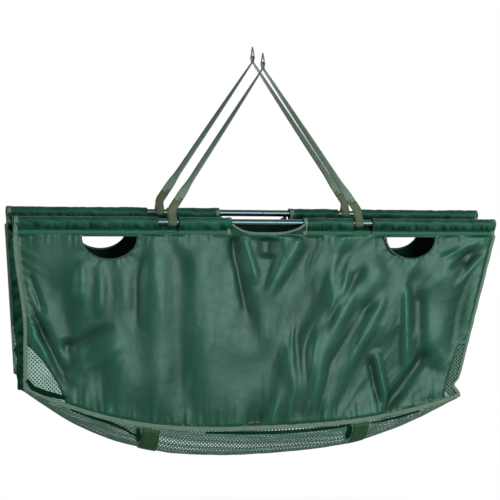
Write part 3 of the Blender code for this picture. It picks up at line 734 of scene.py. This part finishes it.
def net_sheet(name, surface, width, length, strand, mat, inside=lambda a, b: True):
    """Netting on a surface given by a function of (a, b) in metres: a plate of diamond cells with holes.

    Cells stand on their corners. Inside says which cell centres to keep.
    """
    points, faces, index = [], [], {}

    def corner(a, b):
        key = (round(a / NET_PITCH * 4), round(b / NET_PITCH * 4))
        if key not in index:
            index[key] = len(points)
            points.append((a, b))
        return index[key]

    step = NET_PITCH / math.sqrt(2)
    hole = 1 - strand / NET_PITCH
    for i in range(int(width / step) + 1):
        for j in range(int(length / step) + 1):
            a, b = i * step, j * step
            if (i + j) % 2 or not inside(a, b):
                continue
            outer = [(a - step, b), (a, b - step), (a + step, b), (a, b + step)]
            outer = [(min(max(x, 0), width), min(max(y, 0), length)) for x, y in outer]
            middle = (sum(x for x, _ in outer) / 4, sum(y for _, y in outer) / 4)
            around = [corner(x, y) for x, y in outer]
            first = len(points)
            points += [(lerp(middle[0], x, hole), lerp(middle[1], y, hole)) for x, y in outer]
            for k in range(4):
                n = (k + 1) % 4
                faces.append((around[k], around[n], first + n, first + k))
    flat = np.array(points)
    net = make_mesh(name, surface(flat[:, 0], flat[:, 1]), faces, flat, mat)
    solidify(net, NET_THICK)
    return net


def cloth_uv(side, s, z):
    """Find u and v of cloth points by repeated guesses."""
    u = (s + 0.6) / 1.2
    for _ in range(12):
        v = height_share(lerp(edge_at(side, "left", 1), edge_at(side, "right", 1), u), z)
        left, right = (edge_at(side, hand, np.clip(v, 0, 1)) for hand in HANDS)
        u = (s - left) / (right - left)
    return np.clip(u, 0, 1), np.clip(v, 0, 1)


def net_corner(side, hand, mats):
    """The netting that rounds off a lower corner, seen through the gap in the cloth."""
    centre_s, centre_z = corner_centre(side, hand)
    reach = corner_width(side, hand)
    toward = -OUT[hand]
    outer_s = float(edge_at(side, hand, 0.6))
    width = reach + abs(outer_s - centre_s) + 0.002
    low = float(bottom_z(centre_s + toward * reach)) - 0.004
    top = centre_z + CORNER_HEIGHT + 0.002

    def inside(a, b):
        s, z = outer_s + toward * a, top - b
        past_edge = toward * (s - edge_at(side, hand, height_share(s, z))) > -0.001
        return past_edge and z > bottom_z(s) and in_corner(side, hand, s, z, 0.006)

    def surface(a, b):
        u, v = cloth_uv(side, outer_s + toward * a, top - b)
        return cloth_points(side, u, v) - (0, MIRROR[side] * 0.0013, 0)

    # The tucked corner takes the darker netting: painted shade of the fold it hangs in.
    mat = mats["floor" if reach == CORNER_TUCKED else "net"]
    net = net_sheet(f"{side}_netting_{hand}", surface, width, top - low, CORNER_STRAND, mat, inside)
    return place(net, side, f"net_corner_{hand}")


# Mesh floor, its bands, and dark strips of painted shadow

def floor_profile(s, t):
    """Points of the hanging floor, t from the front rim to the rear, from the front pole's centre line."""
    end = np.minimum(1.0, np.abs(s - BOTTOM_LOW_S) / FLOOR_HALF_LENGTH)
    depth = FLOOR_DEPTH * (1 - end ** FLOOR_POWER) + 0.004
    y = lerp(-POLE_SPACING / 2, POLE_SPACING / 2, t)
    sag = depth * np.maximum(np.sin(np.pi * t), 0.0) ** 0.75
    rim = 0.0045 * (smooth((0.06 - t) / 0.06) + smooth((t - 0.94) / 0.06))
    z = bottom_z(s) - 0.0014 + rim + REAR_LIFT * smooth((t - 0.62) / 0.38) - sag
    return np.stack((s * np.ones_like(t), y * np.ones_like(s), z), -1)


def floor_surface(s, t, outward):
    """Floor points in the row frame, moved outward across the sheet."""
    along = floor_profile(s, np.minimum(1.0, t + 0.01)) - floor_profile(s, np.maximum(0.0, t - 0.01))
    normal = np.stack((np.zeros_like(along[..., 0]), along[..., 2], -along[..., 1]), -1)
    normal /= np.linalg.norm(normal, axis=-1, keepdims=True)
    start = np.array((BAG_X, 0.0, AXIS["front"].z))
    return floor_profile(s, t) + normal * (outward + 0 * s)[..., None] + start


def mesh_floor(mats):
    ts = np.linspace(0, 1, 200)
    run = run_along(floor_profile(np.full(200, BOTTOM_LOW_S), ts))
    start, stop = FLOOR_ENDS
    width, girth = stop - start, run[-1]

    def surface(a, b):
        s, t = start + a, np.interp(b, run, ts)
        waves = 0.0022 * noise_at(s / 0.09, t * 3.0, 5.5) + 0.0008 * noise_at(s / 0.03, t * 6.0, 8.5)
        return floor_surface(s, t, waves * np.sin(np.pi * np.clip(t, 0, 1)))

    # The floor takes the darker netting: painted shade.
    net = net_sheet("shaded_floor_netting", surface, width, girth, FLOOR_STRAND, mats["floor"])
    girths = [run_along(floor_profile(np.full(200, s), ts))[-1] for s in np.linspace(start, stop, 40)]
    across_sides(net, "mesh_floor")


def floor_bands(mats):
    across = np.linspace(-BAND_WIDTH / 2, BAND_WIDTH / 2, 9)
    edge = 1 - np.abs(np.abs(across) / (BAND_WIDTH / 2)) ** 8 * 0.25
    for hand, centre in zip(HANDS, BAND_CENTRES):
        s, t = np.meshgrid(centre + across, np.linspace(0.015, 0.985, 41), indexing="ij")
        points = floor_surface(s, t, (0.0014 + 0.0003 * edge)[:, None])
        uvs = np.stack((np.ones_like(s) * run_along(points[4]), s - centre), -1)
        band = make_grid(f"band_{hand}", points, uvs, mats["band"])
        solidify(band, BAND_THICK)
        across_sides(band, f"floor_band_{hand}")


def resampled(route, steps):
    """The two coordinates of points along a route, with steps to each stretch."""
    last = len(route) - 1
    run = np.linspace(0, last, steps * last + 1)
    return [np.interp(run, np.arange(last + 1), column) for column in np.array(route).T]


def shadow_roll(name, path, outs, section, slimmest, mats):
    """A dark strip along a path, slimmer at its ends: a roll, and painted shadow in it, in the gusset's cloth
    without a painted-shade value, so near its dark colour.
    """
    frames = []
    for k, (point, along, out) in enumerate(zip(path, headings(path), outs)):
        full = math.sin(math.pi * (0.1 + 0.8 * k / (len(path) - 1)))
        frames.append((point, along.cross(out) * lerp(slimmest, 1.0, full), out))
    return sweep(name, frames, section, mats["gusset"])


def floor_shadow_rolls(mats):
    """Dark strips under the front tape and beside the bands, where loose netting bunches: the bunching, and
    painted shadow in it.
    """
    for number, (width, route) in enumerate(FLOOR_SHADOW_ROLLS, 1):
        s, t = resampled(route, 8)
        path, above = ([Vector(p) for p in floor_surface(s, t, k * ROLL_OUT)] for k in (1, 2))
        outs = [(high - point).normalized() for point, high in zip(path, above)]
        section = ribbon_section(width, ROLL_THICK, 0.8)
        roll = shadow_roll(f"floor_shadow_roll_{number}", path, outs, section, 0.35, mats)
        across_sides(roll)


def corner_fold_shadow(mats):
    """A dark strip across the netting at the front left corner's foot: the hem's sag, and painted shadow in
    it.
    """
    path = [Vector((s, -0.0035, z)) for s, z in zip(*resampled(CORNER_SHADOW_ROLL, 6))]
    section = ribbon_section(CORNER_ROLL_WIDTH, CORNER_ROLL_THICK, 0.8)
    roll = shadow_roll("front_corner_shadow_roll", path, [-Y] * len(path), section, 0.45, mats)
    place(roll, "front")


# End gussets

def end_gusset(hand, mats):
    out = OUT[hand]
    inset = POLE_SPACING / 2 - TAPE_HALF - 0.0008
    w, v = np.meshgrid(np.linspace(0, 1, 41), np.linspace(0, 1, 161), indexing="ij")
    pucker = 0.004 * np.cos(2 * np.pi * w)
    edge = lerp(edge_at("front", hand, v), edge_at("rear", hand, v), w)
    x = edge - out * (lerp(GUSSET_INSET, GUSSET_INSET_REAR, w) + pucker)
    rim = float(edge_at("front", hand, 1.0)) - out * GUSSET_INSET
    low = floor_profile(np.full(41, rim), np.linspace(0, 1, 41))[:, 2] + GUSSET_CLEAR
    top = PANEL_TOP_Z + REAR_LIFT * w
    z = lerp(top, low[:, None], v)
    near = np.minimum(w, 1 - w) * 2 * inset
    ripple = gathers(z + 0.3 * near, near, 0.011, 0.0060, 0.030, 51.0 + out)
    ripple += 0.0026 * noise_at(w * 3.0, z / 0.022, 61.0 + out)
    x = x + ripple * smooth(near / 0.004) * smooth((1 - v) / 0.14)
    points = np.stack((x + BAG_X, lerp(-inset, inset, w), z + AXIS["front"].z), -1)
    uvs = np.stack((w * 2 * inset, z), -1)
    # Painted shade and highlight: the ripples' hollows are painted darker and their crests lighter.
    gusset = make_grid(f"gusset_{hand}", points, uvs, mats["gusset"], painted_shade=0.5 - out * ripple / 0.0045)
    line_back(gusset, GUSSET_THICK, X * out, mats["lining"])
    across_sides(gusset, f"end_gusset_{hand}")


# Binding tapes

def tape_section(width):
    """A folded tape as a closed section: (inward, through) pairs, from lip to lip round the fold."""
    t, inner = TAPE_HALF, 0.0007
    lip = [(width, inner + 0.0001), (width - 0.0004, t * 0.98), (width * 0.6, t), (width * 0.3, t)]
    angles = np.radians((-80, -55, -30, 0, 30, 55, 80))
    fold = [(0.0016 * (1 - math.cos(a)), t * math.sin(a)) for a in angles]
    inside = [(width * 0.5, inner), (0.0022, inner), (0.0022, -inner), (width * 0.5, -inner)]
    return [(a, -b) for a, b in lip] + fold + lip[::-1] + inside


def edge_tape(name, edge, inward, width, waviness, seed, mats):
    """A folded tape along edge points, its lips toward the inward points."""
    frames = []
    for k, (a, b) in enumerate(zip(edge, inward)):
        across = (b - a).normalized()
        wave = waviness * noise.noise(Vector((k * 0.23, seed, 1.7)))
        frames.append((a + Y * wave + across * wave * 0.4, across, Y))
    return sweep(name, frames, tape_section(width), mats["tape"])


def cloth_tapes(side, mats):
    """The tapes down both side edges and along the bottom."""
    v = np.linspace(0.0, 0.985, 90)
    for hand, u, inner_u in zip(HANDS, (0.0, 1.0), (0.0095, 1 - 0.0095)):
        edge, inward = (bare_points(side, np.full_like(v, at), v) for at in (u, inner_u))
        tape = edge_tape(f"{side}_edge_tape_{hand}", edge, inward, SIDE_TAPE_WIDTH, 0.0010, 3.0 + u, mats)
        place(tape, side, f"side_tape_{hand}")
    u = np.linspace(0.0, 1.0, 260)
    edge, inward = (bare_points(side, u, np.full_like(u, at)) for at in (1.0, 0.97))
    tape = edge_tape(f"{side}_hem_tape", edge, inward, TAPE_WIDTH, 0.0012, 7.0, mats)
    place(tape, side, "bottom_tape")


def gap_tape(side, mats):
    """The tape over the free top edge in the gap."""
    stations = np.linspace(-GAP_HALF, GAP_HALF, 81)
    edge = [Vector(point) for point in zip(stations, *free_edge(side, stations))]
    frames = []
    for point, along in zip(edge, headings(edge)):
        down = (along * along.z - Z).normalized()
        wave = 0.0006 * noise.noise(Vector((point.x * 40, 2.0, 0.0)))
        frames.append((point + Y * wave, down, along.cross(down)))
    w = GAP_TAPE_WIDTH
    lip = [(w, 0.0008), (w - 0.0004, TAPE_HALF), (0.0030, TAPE_HALF), (0.0010, 0.0013)]
    section = [(a, -b) for a, b in lip] + [(0, 0)] + lip[::-1]
    tape = sweep(f"{side}_free_edge_tape", frames, section, mats["tape"])
    place(tape, side, "gap_tape")


# Sleeves

def teardrop(radius, point_z, half_flange, flange_z, steps=30):
    """The sleeve's section from the front flange's foot round the pole to the rear one: (y, z) pairs."""
    arc = [math.radians(212 - 244 * k / steps) for k in range(steps + 1)]
    round_part = [(radius * math.cos(a), radius * math.sin(a)) for a in arc]
    start_y, start_z = round_part[0]
    front = [(-half_flange, lerp(flange_z, point_z, share)) for share in (0.0, 0.5, 1.0)]
    front += [(lerp(-half_flange, start_y, k / 6), lerp(point_z, start_z, k / 6)) for k in range(1, 6)]
    return front + round_part + [(-y, z) for y, z in reversed(front)]


def sleeve_relief(x, z, g, seed):
    """Small waves all round a sleeve, and pleats on its shadow side."""
    relief = 0.0014 * noise_at(x / 0.045 + z / 0.02, g / 0.022, seed)
    relief += 0.0009 * noise_at(x / 0.014 + z / 0.012, g / 0.016, seed + 1)
    low = smooth((z - FLANGE_BOTTOM_Z - 0.003) / 0.009)
    under = smooth((0.001 - z) / 0.010)
    pleats = creased(x / 0.012 + z / 0.03, g / 0.05, seed + 2) + noise_at(x / 0.006, g / 0.03, seed + 3)
    return relief * low + 0.0013 * under * low * pleats


def sleeve(side, hand, mats):
    section = np.array(teardrop(SLEEVE_RADIUS, SLEEVE_POINT_Z, FLANGE_HALF, FLANGE_BOTTOM_Z))
    girth = run_along(section)
    stations = np.linspace(SLEEVE_GAP, SLEEVE_END - 0.001, 171)
    for slot_end in (SLOT_INNER, SLOT_OUTER):
        stations[np.argmin(abs(stations - slot_end))] = slot_end
    x, g = np.meshgrid(OUT[hand] * stations, girth, indexing="ij")
    y, z = (np.broadcast_to(column, x.shape) for column in section.T)
    relief = sleeve_relief(x, z, g, 71.0 + OUT[hand] + (4 if side == "rear" else 0))
    out = np.stack((y, z + 0.004), -1)
    out = out / np.maximum(np.linalg.norm(out, axis=-1, keepdims=True), 1e-6)
    points = np.stack((x, y + relief * out[..., 0], z + relief * out[..., 1]), -1)
    mid_x = np.abs(middles(x))
    slot_bottom = np.where(middles(y) * MIRROR[side] > 0, SLOT_BOTTOM_Z, -0.004)
    keep = ~((mid_x > SLOT_INNER) & (mid_x < SLOT_OUTER) & (middles(z) > slot_bottom))
    # Painted shade and highlight: the sleeve is painted light over the pole and on its flange, with painted
    # shade on the underside between them where the sleeve turns down and in, and lighter on the crests of its
    # small waves.
    painted_top_light, flange = smooth((z + 0.013) / 0.010), smooth((SLEEVE_POINT_Z + 0.0030 - z) / 0.004)
    tube = make_grid(f"{side}_pole_sleeve_{hand}", points, np.stack((x, g), -1), mats["sleeve"], keep,
                     painted_shade=0.55 * painted_top_light + flange + relief / 0.004)
    solidify(tube, SLEEVE_WALL, OUT[hand])
    place(tube, side, f"sleeve_{hand}")


def mouth_tapes(side, mats):
    outline = teardrop(SLEEVE_RADIUS + 0.0009, SLEEVE_POINT_Z - 0.001, 0.0021, FLANGE_BOTTOM_Z, 24)
    section = ribbon_section(MOUTH_TAPE, MOUTH_THICK)
    for hand in HANDS:
        for name, start in (("inner", SLEEVE_GAP), ("outer", SLEEVE_END - MOUTH_TAPE)):
            path = [Vector((OUT[hand] * (start + MOUTH_TAPE / 2), y, z)) for y, z in outline]
            frames = [(point, X, along.cross(X)) for point, along in zip(path, headings(path))]
            tape = sweep(f"{side}_{name}_tape_{hand}", frames, section, mats["tape"])
            place(tape, side, f"{name}_mouth_tape_{hand}")


# Hand-hole facings and corner hems

def hole_facing(side, hand, mats):
    """The turned and stitched cloth round a hand hole."""
    centre = HOLE_CENTRES[HANDS.index(hand)]
    wide, deep = HOLE_HALF_WIDTH + HOLE_TRIM / 2, HOLE_DEPTH + HOLE_TRIM / 2
    frames = []
    for k in range(49):
        a = math.radians(180 + 180 * k / 48)
        point = Vector((centre + wide * math.cos(a), 0, HOLE_TOP_Z + deep * math.sin(a)))
        out = Vector((math.cos(a) / HOLE_HALF_WIDTH, 0, math.sin(a) / HOLE_DEPTH)).normalized()
        frames.append((point, out, Y))
    for k in range(1, 12):
        s = lerp(centre + wide, centre - wide, k / 12)
        frames.append((Vector((s, 0, HOLE_TOP_Z + HOLE_TRIM / 2)), Z, Y))
    section = ribbon_section(HOLE_TRIM, FACING_THICK, 0.5)
    facing = sweep(f"{side}_hole_facing_{hand}", frames, section, mats["hem"], closed=True)
    place(facing, side, f"hole_trim_{hand}")


def corner_hem(side, hand, mats):
    """The folded hem where the cloth meets the corner netting."""
    centre_s, centre_z = corner_centre(side, hand)
    toward, width, power = -OUT[hand], corner_width(side, hand), 2 / CORNER_POWER
    out = Vector((toward / width, 0, 1 / CORNER_HEIGHT)).normalized()
    frames = []
    for k in range(61):
        a = math.radians(lerp(90, 0, k / 60))
        s = centre_s + toward * width * max(0.0, math.cos(a)) ** power
        z = centre_z + CORNER_HEIGHT * max(0.0, math.sin(a)) ** power
        if z < bottom_z(s) + 0.004:
            break
        if toward * (s - edge_at(side, hand, height_share(s, z))) < 0.006:
            continue
        u, v = cloth_uv(side, np.array([s]), np.array([z]))
        frames.append((Vector(cloth_points(side, u, v)[0]), out, Y))
    section = ribbon_section(HEM_WIDTH, HEM_THICK, 0.5)
    place(sweep(f"{side}_corner_hem_{hand}", frames, section, mats["hem"]), side)


# Stitches

class Stitching:
    """Rows of thread stitches that end up in one piece."""

    def __init__(self, pitch, length, radius):
        self.pitch, self.length, self.radius = pitch, length, radius
        self.points, self.faces = [], []

    def row(self, path, out):
        """Stitches along path points, on the side that out points to."""
        path = np.asarray([tuple(p) for p in path])
        run = run_along(path)
        for middle in np.arange(self.pitch / 2, run[-1], self.pitch):
            ends = (middle - self.length / 2, middle + self.length / 2)
            a, b = (Vector([np.interp(end, run, column) for column in path.T]) for end in ends)
            beside = (b - a).cross(out).normalized() * self.radius
            above = out * self.radius
            centre = (a + b) / 2
            start = len(self.points)
            self.points += [a, b, centre + beside, centre + above, centre - beside, centre - above]
            for k in range(4):
                here, after = start + 2 + k, start + 2 + (k + 1) % 4
                self.faces += [(start, here, after), (start + 1, after, here)]

    def build(self, name, mat):
        uvs = [(p.x, p.z) for p in self.points]
        return tidy_normals(make_mesh(name, self.points, self.faces, uvs, mat))


def stitch_rows(side):
    """Rows along the sleeves' flanges, near the tapes' lips, and two round each hand hole."""
    mirror = MIRROR[side]
    along = np.linspace(SLEEVE_GAP + 0.002, SLEEVE_END - 0.003, 61)
    for sign in (-1, 1):
        for z in (SLEEVE_POINT_Z - 0.0014, FLANGE_BOTTOM_Z + 0.0016):
            yield [(sign * s, mirror * 0.0023, z) for s in along]
    lift = mirror * (TAPE_HALF + 0.0001)
    v = np.linspace(0.01, 0.965, 80)
    for u in (0.0060, 1 - 0.0060):
        yield cloth_points(side, np.full_like(v, u), v, relief=False) + (0, lift, 0)
    u = np.linspace(0.008, 0.992, 240)
    yield cloth_points(side, u, np.full_like(u, 0.979), relief=False) + (0, lift, 0)
    s = np.linspace(-GAP_HALF, GAP_HALF, 60)
    y, z = free_edge(side, s)
    yield np.stack((s, y + lift, z - 0.0042), -1)
    arc = np.radians(np.linspace(184, 356, 60))
    for centre in HOLE_CENTRES:
        for grow in (HOLE_TRIM - 0.0012, 0.0012):
            s = centre + (HOLE_HALF_WIDTH + grow) * np.cos(arc)
            z = HOLE_TOP_Z + (HOLE_DEPTH + grow) * np.sin(arc)
            yield np.stack((s, np.full_like(s, mirror * 0.0015), z), -1)


def side_stitches(side, mats):
    stitching = Stitching(*CLOTH_STITCH)
    for path in stitch_rows(side):
        stitching.row(path, Y * MIRROR[side])
    place(stitching.build(f"{side}_stitching", mats["thread"]), side)


def strap_stitches(side, mats):
    """The box and cross that hold each end of the strap's loop."""
    stitching = Stitching(*STRAP_STITCH)
    turn = lean(side)
    low = Vector((FOOT_S[side], 0, KINK_Z))
    leg = (Vector((APEX_S, 0, APEX_Z - NECK_DROP)) - low).normalized()
    flat = Vector((leg.z, 0, -leg.x))
    half, start, end = WEB_WIDTH / 2 - 0.0022, 0.003, BOX_LENGTH - 0.003
    corners = [(-half, start), (half, start), (half, end), (-half, end)]
    for mirror, shift in ((1, 0.0), (-1, 2 * APEX_S * KINK_Z / APEX_Z)):
        for out in (1, -1):
            for line in ((0, 1), (1, 2), (2, 3), (3, 0), (0, 2), (1, 3)):
                path = []
                for across, along in (corners[k] for k in line):
                    point = low + leg * along + flat * across
                    point.x, point.y = point.x * mirror + shift, out * (WEB_THICK + 0.0003)
                    path.append(turn @ point)
                stitching.row(path, Y * out)
    rows = stitching.build(f"{side}_strap_stitching", mats["thread"])
    place(rows, side, body="strap")


# Poles

def lathe(name, profile, mat):
    """Turn (x, radius) pairs round the pole's centre line."""
    profile = np.array(profile)
    turns = np.linspace(0, 2 * np.pi, LATHE_SIDES, endpoint=False)
    x, turn = np.meshgrid(profile[:, 0], turns, indexing="ij")
    radius, run = profile[:, 1:], run_along(profile)[:, None]
    points = np.stack((x, radius * np.cos(turn), radius * np.sin(turn)), -1)
    obj = make_grid(name, points, np.stack((run + 0 * x, turn * POLE_RADIUS), -1), mat, wrap=True)
    obj.data.set_sharp_from_angle(angle=math.radians(35))
    return tidy_normals(obj)


def tube_profile(start, stop):
    """A pole half's closed profile, its rims broken by small chamfers."""
    outer, bore, c = POLE_RADIUS, POLE_RADIUS - POLE_WALL, RIM_CHAMFER
    inner_x, outer_x = start + math.copysign(c, stop - start), stop - math.copysign(c, stop - start)
    return [(start, bore + c), (start, outer - c), (inner_x, outer), (outer_x, outer), (stop, outer - c),
            (stop, bore + c), (outer_x, bore), (inner_x, bore), (start, bore + c)]


def poles(side, mats):
    """Two tube halves, each with a plug in its outer end."""
    for hand in HANDS:
        out, outer, body = OUT[hand], POLE_ENDS[hand], f"pole_{hand}_half"
        tube_end = outer - out * 0.0024
        tube = lathe(f"{side}_tube_{hand}", tube_profile(POLE_JOINT + out * 0.0002, tube_end), mats["pole"])
        place(tube, side, f"pole_{hand}", body)
        flange, inner = tube_end + out * 0.0004, tube_end - out * PLUG_DEPTH
        plug = [(outer, 0.0), (outer, PLUG_RADIUS), (outer - out * 0.0008, 0.0078), (flange, POLE_RADIUS),
                (flange, PLUG_RADIUS), (inner, 0.0062), (inner, 0.0)]
        cap = lathe(f"{side}_plug_{hand}", plug, mats["plug"])
        place(cap, side, f"pole_cap_{hand}", body)


# Straps and rings

def lean(side):
    """The turn that brings each strap's top in over the bag."""
    return Matrix.Rotation(MIRROR[side] * math.asin(APEX_LEAN / APEX_Z), 3, "X")


def strap_stations(side):
    """(centre, across, width) along the right leg, from its sewn end to the ring, and at the crown."""
    foot = FOOT_S[side]
    ply = WEB_THICK / 2 + 0.0002
    loop = POLE_RADIUS + 0.0005 + WEB_THICK / 2
    kink = Vector((foot, 0, KINK_Z))
    neck = Vector((APEX_S + WEB_THICK / 2 + 0.0004, 0, APEX_Z - NECK_DROP))
    leg = (neck - kink).normalized()
    flat = Vector((leg.z, 0, -leg.x))
    box = (0.004, 0.012, 0.018, BOX_LENGTH)
    round_pole = [(-ply, KINK_Z - 0.003), (-ply * 1.1, KINK_Z - 0.009)]
    round_pole += [(loop * math.cos(a), loop * math.sin(a)) for a in np.radians(np.linspace(160, 380, 25))]
    round_pole += [(ply * 1.1, KINK_Z - 0.009), (ply, KINK_Z - 0.003)]
    half = [(kink + leg * d - Y * ply, flat, WEB_WIDTH) for d in box[::-1]]
    half += [(Vector((foot, y, z)), X, WEB_WIDTH) for y, z in round_pole]
    half += [(kink + leg * d + Y * ply, flat, WEB_WIDTH) for d in box]
    start = kink + leg * (BOX_LENGTH + 0.012)
    for t in np.linspace(0, 1, 41):
        twist = math.radians(90) * (0.42 * smooth(t / 0.12) + 0.58 * t ** 1.4)
        width = lerp(WEB_WIDTH, WEB_CURLED, smooth(t / 0.15))
        width = lerp(width, WEB_GATHERED, smooth((t - 0.85) / 0.15))
        half.append((start.lerp(neck, t), flat * math.cos(twist) - Y * math.sin(twist), width))
    bar = RING_WIRE + 0.0008 + WEB_THICK / 2
    for k in range(9):
        a = math.radians(lerp(-10, 90, k / 9))
        half.append((Vector((APEX_S + bar * math.cos(a), 0, APEX_Z + bar * math.sin(a))), -Y, WEB_GATHERED))
    return half, (Vector((APEX_S, 0, APEX_Z + bar)), -Y, WEB_GATHERED)


def mirrored(station):
    """The same station on the left leg, which is twisted the same way round."""
    centre, across, width = station
    t = min(1.0, max(0.0, (centre.z - KINK_Z) / (APEX_Z - NECK_DROP - KINK_Z)))
    centre = Vector((2 * APEX_S * t - centre.x, centre.y, centre.z))
    return centre, Vector((across.x, across.y, -across.z)), width


def lifting_strap(side, mats):
    right, crown = strap_stations(side)
    stations = right + [crown] + [mirrored(station) for station in right][::-1]
    turn = lean(side)
    section = ribbon_section(1.0, WEB_THICK)
    points, uvs, run = [], [], 0.0
    for k, along in enumerate(headings([centre for centre, _, _ in stations])):
        centre, across, width = stations[k]
        if k:
            run += (centre - stations[k - 1][0]).length
        across = (across - along * across.dot(along)).normalized()
        normal = along.cross(across)
        points += [turn @ (centre + across * a * width + normal * b) for a, b in section]
        uvs += [(run, a * width + b) for a, b in section]
    faces = tube_faces(len(stations), len(section))
    strap = tidy_normals(make_mesh(f"{side}_webbing", points, faces, uvs, mats["web"]))
    strap.data.materials.append(mats["foot"])
    for polygon in strap.data.polygons:
        polygon.material_index = 1 if polygon.center.z < KINK_Z + BOX_LENGTH else 0
    place(strap, side, "strap", "strap")


def ring_path(steps=9):
    """A closed triangle with rounded corners, the last of them sharper."""
    corners = [Vector((-RING_WIDTH / 2, 0)), Vector((RING_WIDTH / 2, 0)), Vector((0, RING_HEIGHT))]
    path = []
    for k, corner in enumerate(corners):
        before = (corners[k - 1] - corner).normalized()
        after = (corners[(k + 1) % 3] - corner).normalized()
        reach = RING_CORNER / math.tan(before.angle(after) / 2) * (0.55 if k == 2 else 1.0)
        start, end = corner + before * reach, corner + after * reach
        for step in range(steps):
            t = step / (steps - 1)
            path.append(start.lerp(corner, t).lerp(corner.lerp(end, t), t))
    return path


def steel_ring(side, mats):
    path = ring_path()
    frames = []
    for k, point in enumerate(path):
        along = (path[(k + 1) % len(path)] - path[k - 1]).normalized()
        frames.append((Vector((0, *point)), X, Vector((0, along.y, -along.x))))
    turns = np.linspace(0, 2 * np.pi, 14, endpoint=False)
    circle = [(RING_WIRE * math.cos(a), RING_WIRE * math.sin(a)) for a in turns]
    ring = sweep(f"{side}_steel_ring", frames, circle, mats["steel"], closed=True)
    pivot_z = math.sqrt(APEX_Z ** 2 - APEX_LEAN ** 2)
    ring.data.transform(Matrix.Translation((APEX_S, -MIRROR[side] * APEX_LEAN, pivot_z)))
    place(ring, side, "ring", "ring")


# Setting

def make_camera():
    turn = math.radians(VIEW_TURN)
    data = bpy.data.cameras.new("camera")
    data.lens = VIEW_LENS
    data.sensor_width = 36.0
    camera = bpy.data.objects.new("camera", data)
    camera.location = VIEW_TARGET - VIEW_DISTANCE * Vector((math.sin(turn), math.cos(turn), 0))
    camera.rotation_euler = (math.pi / 2, 0, -turn)
    bpy.context.collection.objects.link(camera)
    bpy.context.scene.camera = camera


def shown_white(n, lit, far):
    """Mix a lit shader with a white one for the camera, gloss and see-through rays."""
    rays = n.add("LightPath", {})
    seen = n.math("MAXIMUM", rays["Is Camera Ray"], rays["Is Glossy Ray"])
    seen = n.math("MAXIMUM", seen, rays["Is Transmission Ray"])
    return n.add("MixShader", {"Fac": seen, 1: lit, 2: far})[0]


def make_world():
    world = bpy.data.worlds.new("studio")
    bpy.context.scene.world = world
    n = Nodes(world)
    n.tree.nodes.clear()
    dim = n.add("Background", {"Color": (0.90, 0.95, 1.0, 1.0), "Strength": 0.06})[0]
    white = n.add("Background", {"Color": WHITE})[0]
    n.add("OutputWorld", {"Surface": shown_white(n, dim, white)})


def make_floor():
    """A pale floor under the hanging sling, white far off."""
    mesh = bpy.data.meshes.new("studio_floor")
    corners = [(x * STUDIO_SIZE, y * STUDIO_SIZE, 0) for x, y in ((-1, -1), (1, -1), (1, 1), (-1, 1))]
    mesh.from_pydata(corners, [], [(0, 1, 2, 3)])
    floor = bpy.data.objects.new("studio_floor", mesh)
    floor.location = (0, 0, STUDIO_Z)
    bpy.context.collection.objects.link(floor)
    mat, n = new_material("studio_floor", (0.86, 0.86, 0.86), 0.9)
    lit = n.shade()
    away = n.add("VectorMath", {0: n.add("TexCoord", {})["Object"]}, operation="LENGTH")["Value"]
    far = n.range(away, 0.0, 1.0, 0.7, 1.5, interpolation_type="SMOOTHSTEP")
    white = n.add("Emission", {"Color": WHITE})[0]
    mixed = n.add("MixShader", {"Fac": far, 1: lit, 2: white})[0]
    n.fill(n.tree.nodes["Material Output"], {"Surface": shown_white(n, lit, mixed)})
    mesh.materials.append(mat)


def softbox(name, spot, size, power):
    data = bpy.data.lights.new(name, "AREA")
    data.shape = "RECTANGLE"
    data.size, data.size_y = size
    data.energy = power
    light = bpy.data.objects.new(name, data)
    light.location = spot
    light.rotation_euler = (LIGHT_AIM - Vector(spot)).to_track_quat("-Z", "Y").to_euler()
    bpy.context.collection.objects.link(light)


def make_lights():
    softbox("key", (1.38, -2.95, -0.15), (2.3, 1.8), 152)
    softbox("fill", (-2.3, -1.9, 0.1), (1.0, 1.6), 42)
    softbox("back", (-0.9, 2.8, -0.72), (2.2, 1.0), 85)


def build_side(side, mats):
    panel = side_panel(side, mats)
    cloth_tapes(side, mats)
    gap_tape(side, mats)
    mouth_tapes(side, mats)
    for hand in HANDS:
        sleeve(side, hand, mats)
        hole_facing(side, hand, mats)
        net_corner(side, hand, mats)
        corner_hem(side, hand, mats)
    side_stitches(side, mats)
    poles(side, mats)
    lifting_strap(side, mats)
    strap_stitches(side, mats)
    steel_ring(side, mats)


def main():
    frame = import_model()
    mats = make_materials()
    for side in SIDES:
        build_side(side, mats)
        frame["nodes"][f"{side}_pole_spigot"].material_slots[0].material = mats["spigot"]
    corner_fold_shadow(mats)
    mesh_floor(mats)
    floor_bands(mats)
    floor_shadow_rolls(mats)
    for hand in HANDS:
        end_gusset(hand, mats)
    make_camera()
    make_world()
    make_floor()
    make_lights()
    bpy.context.scene.view_settings.view_transform = "Standard"


main()
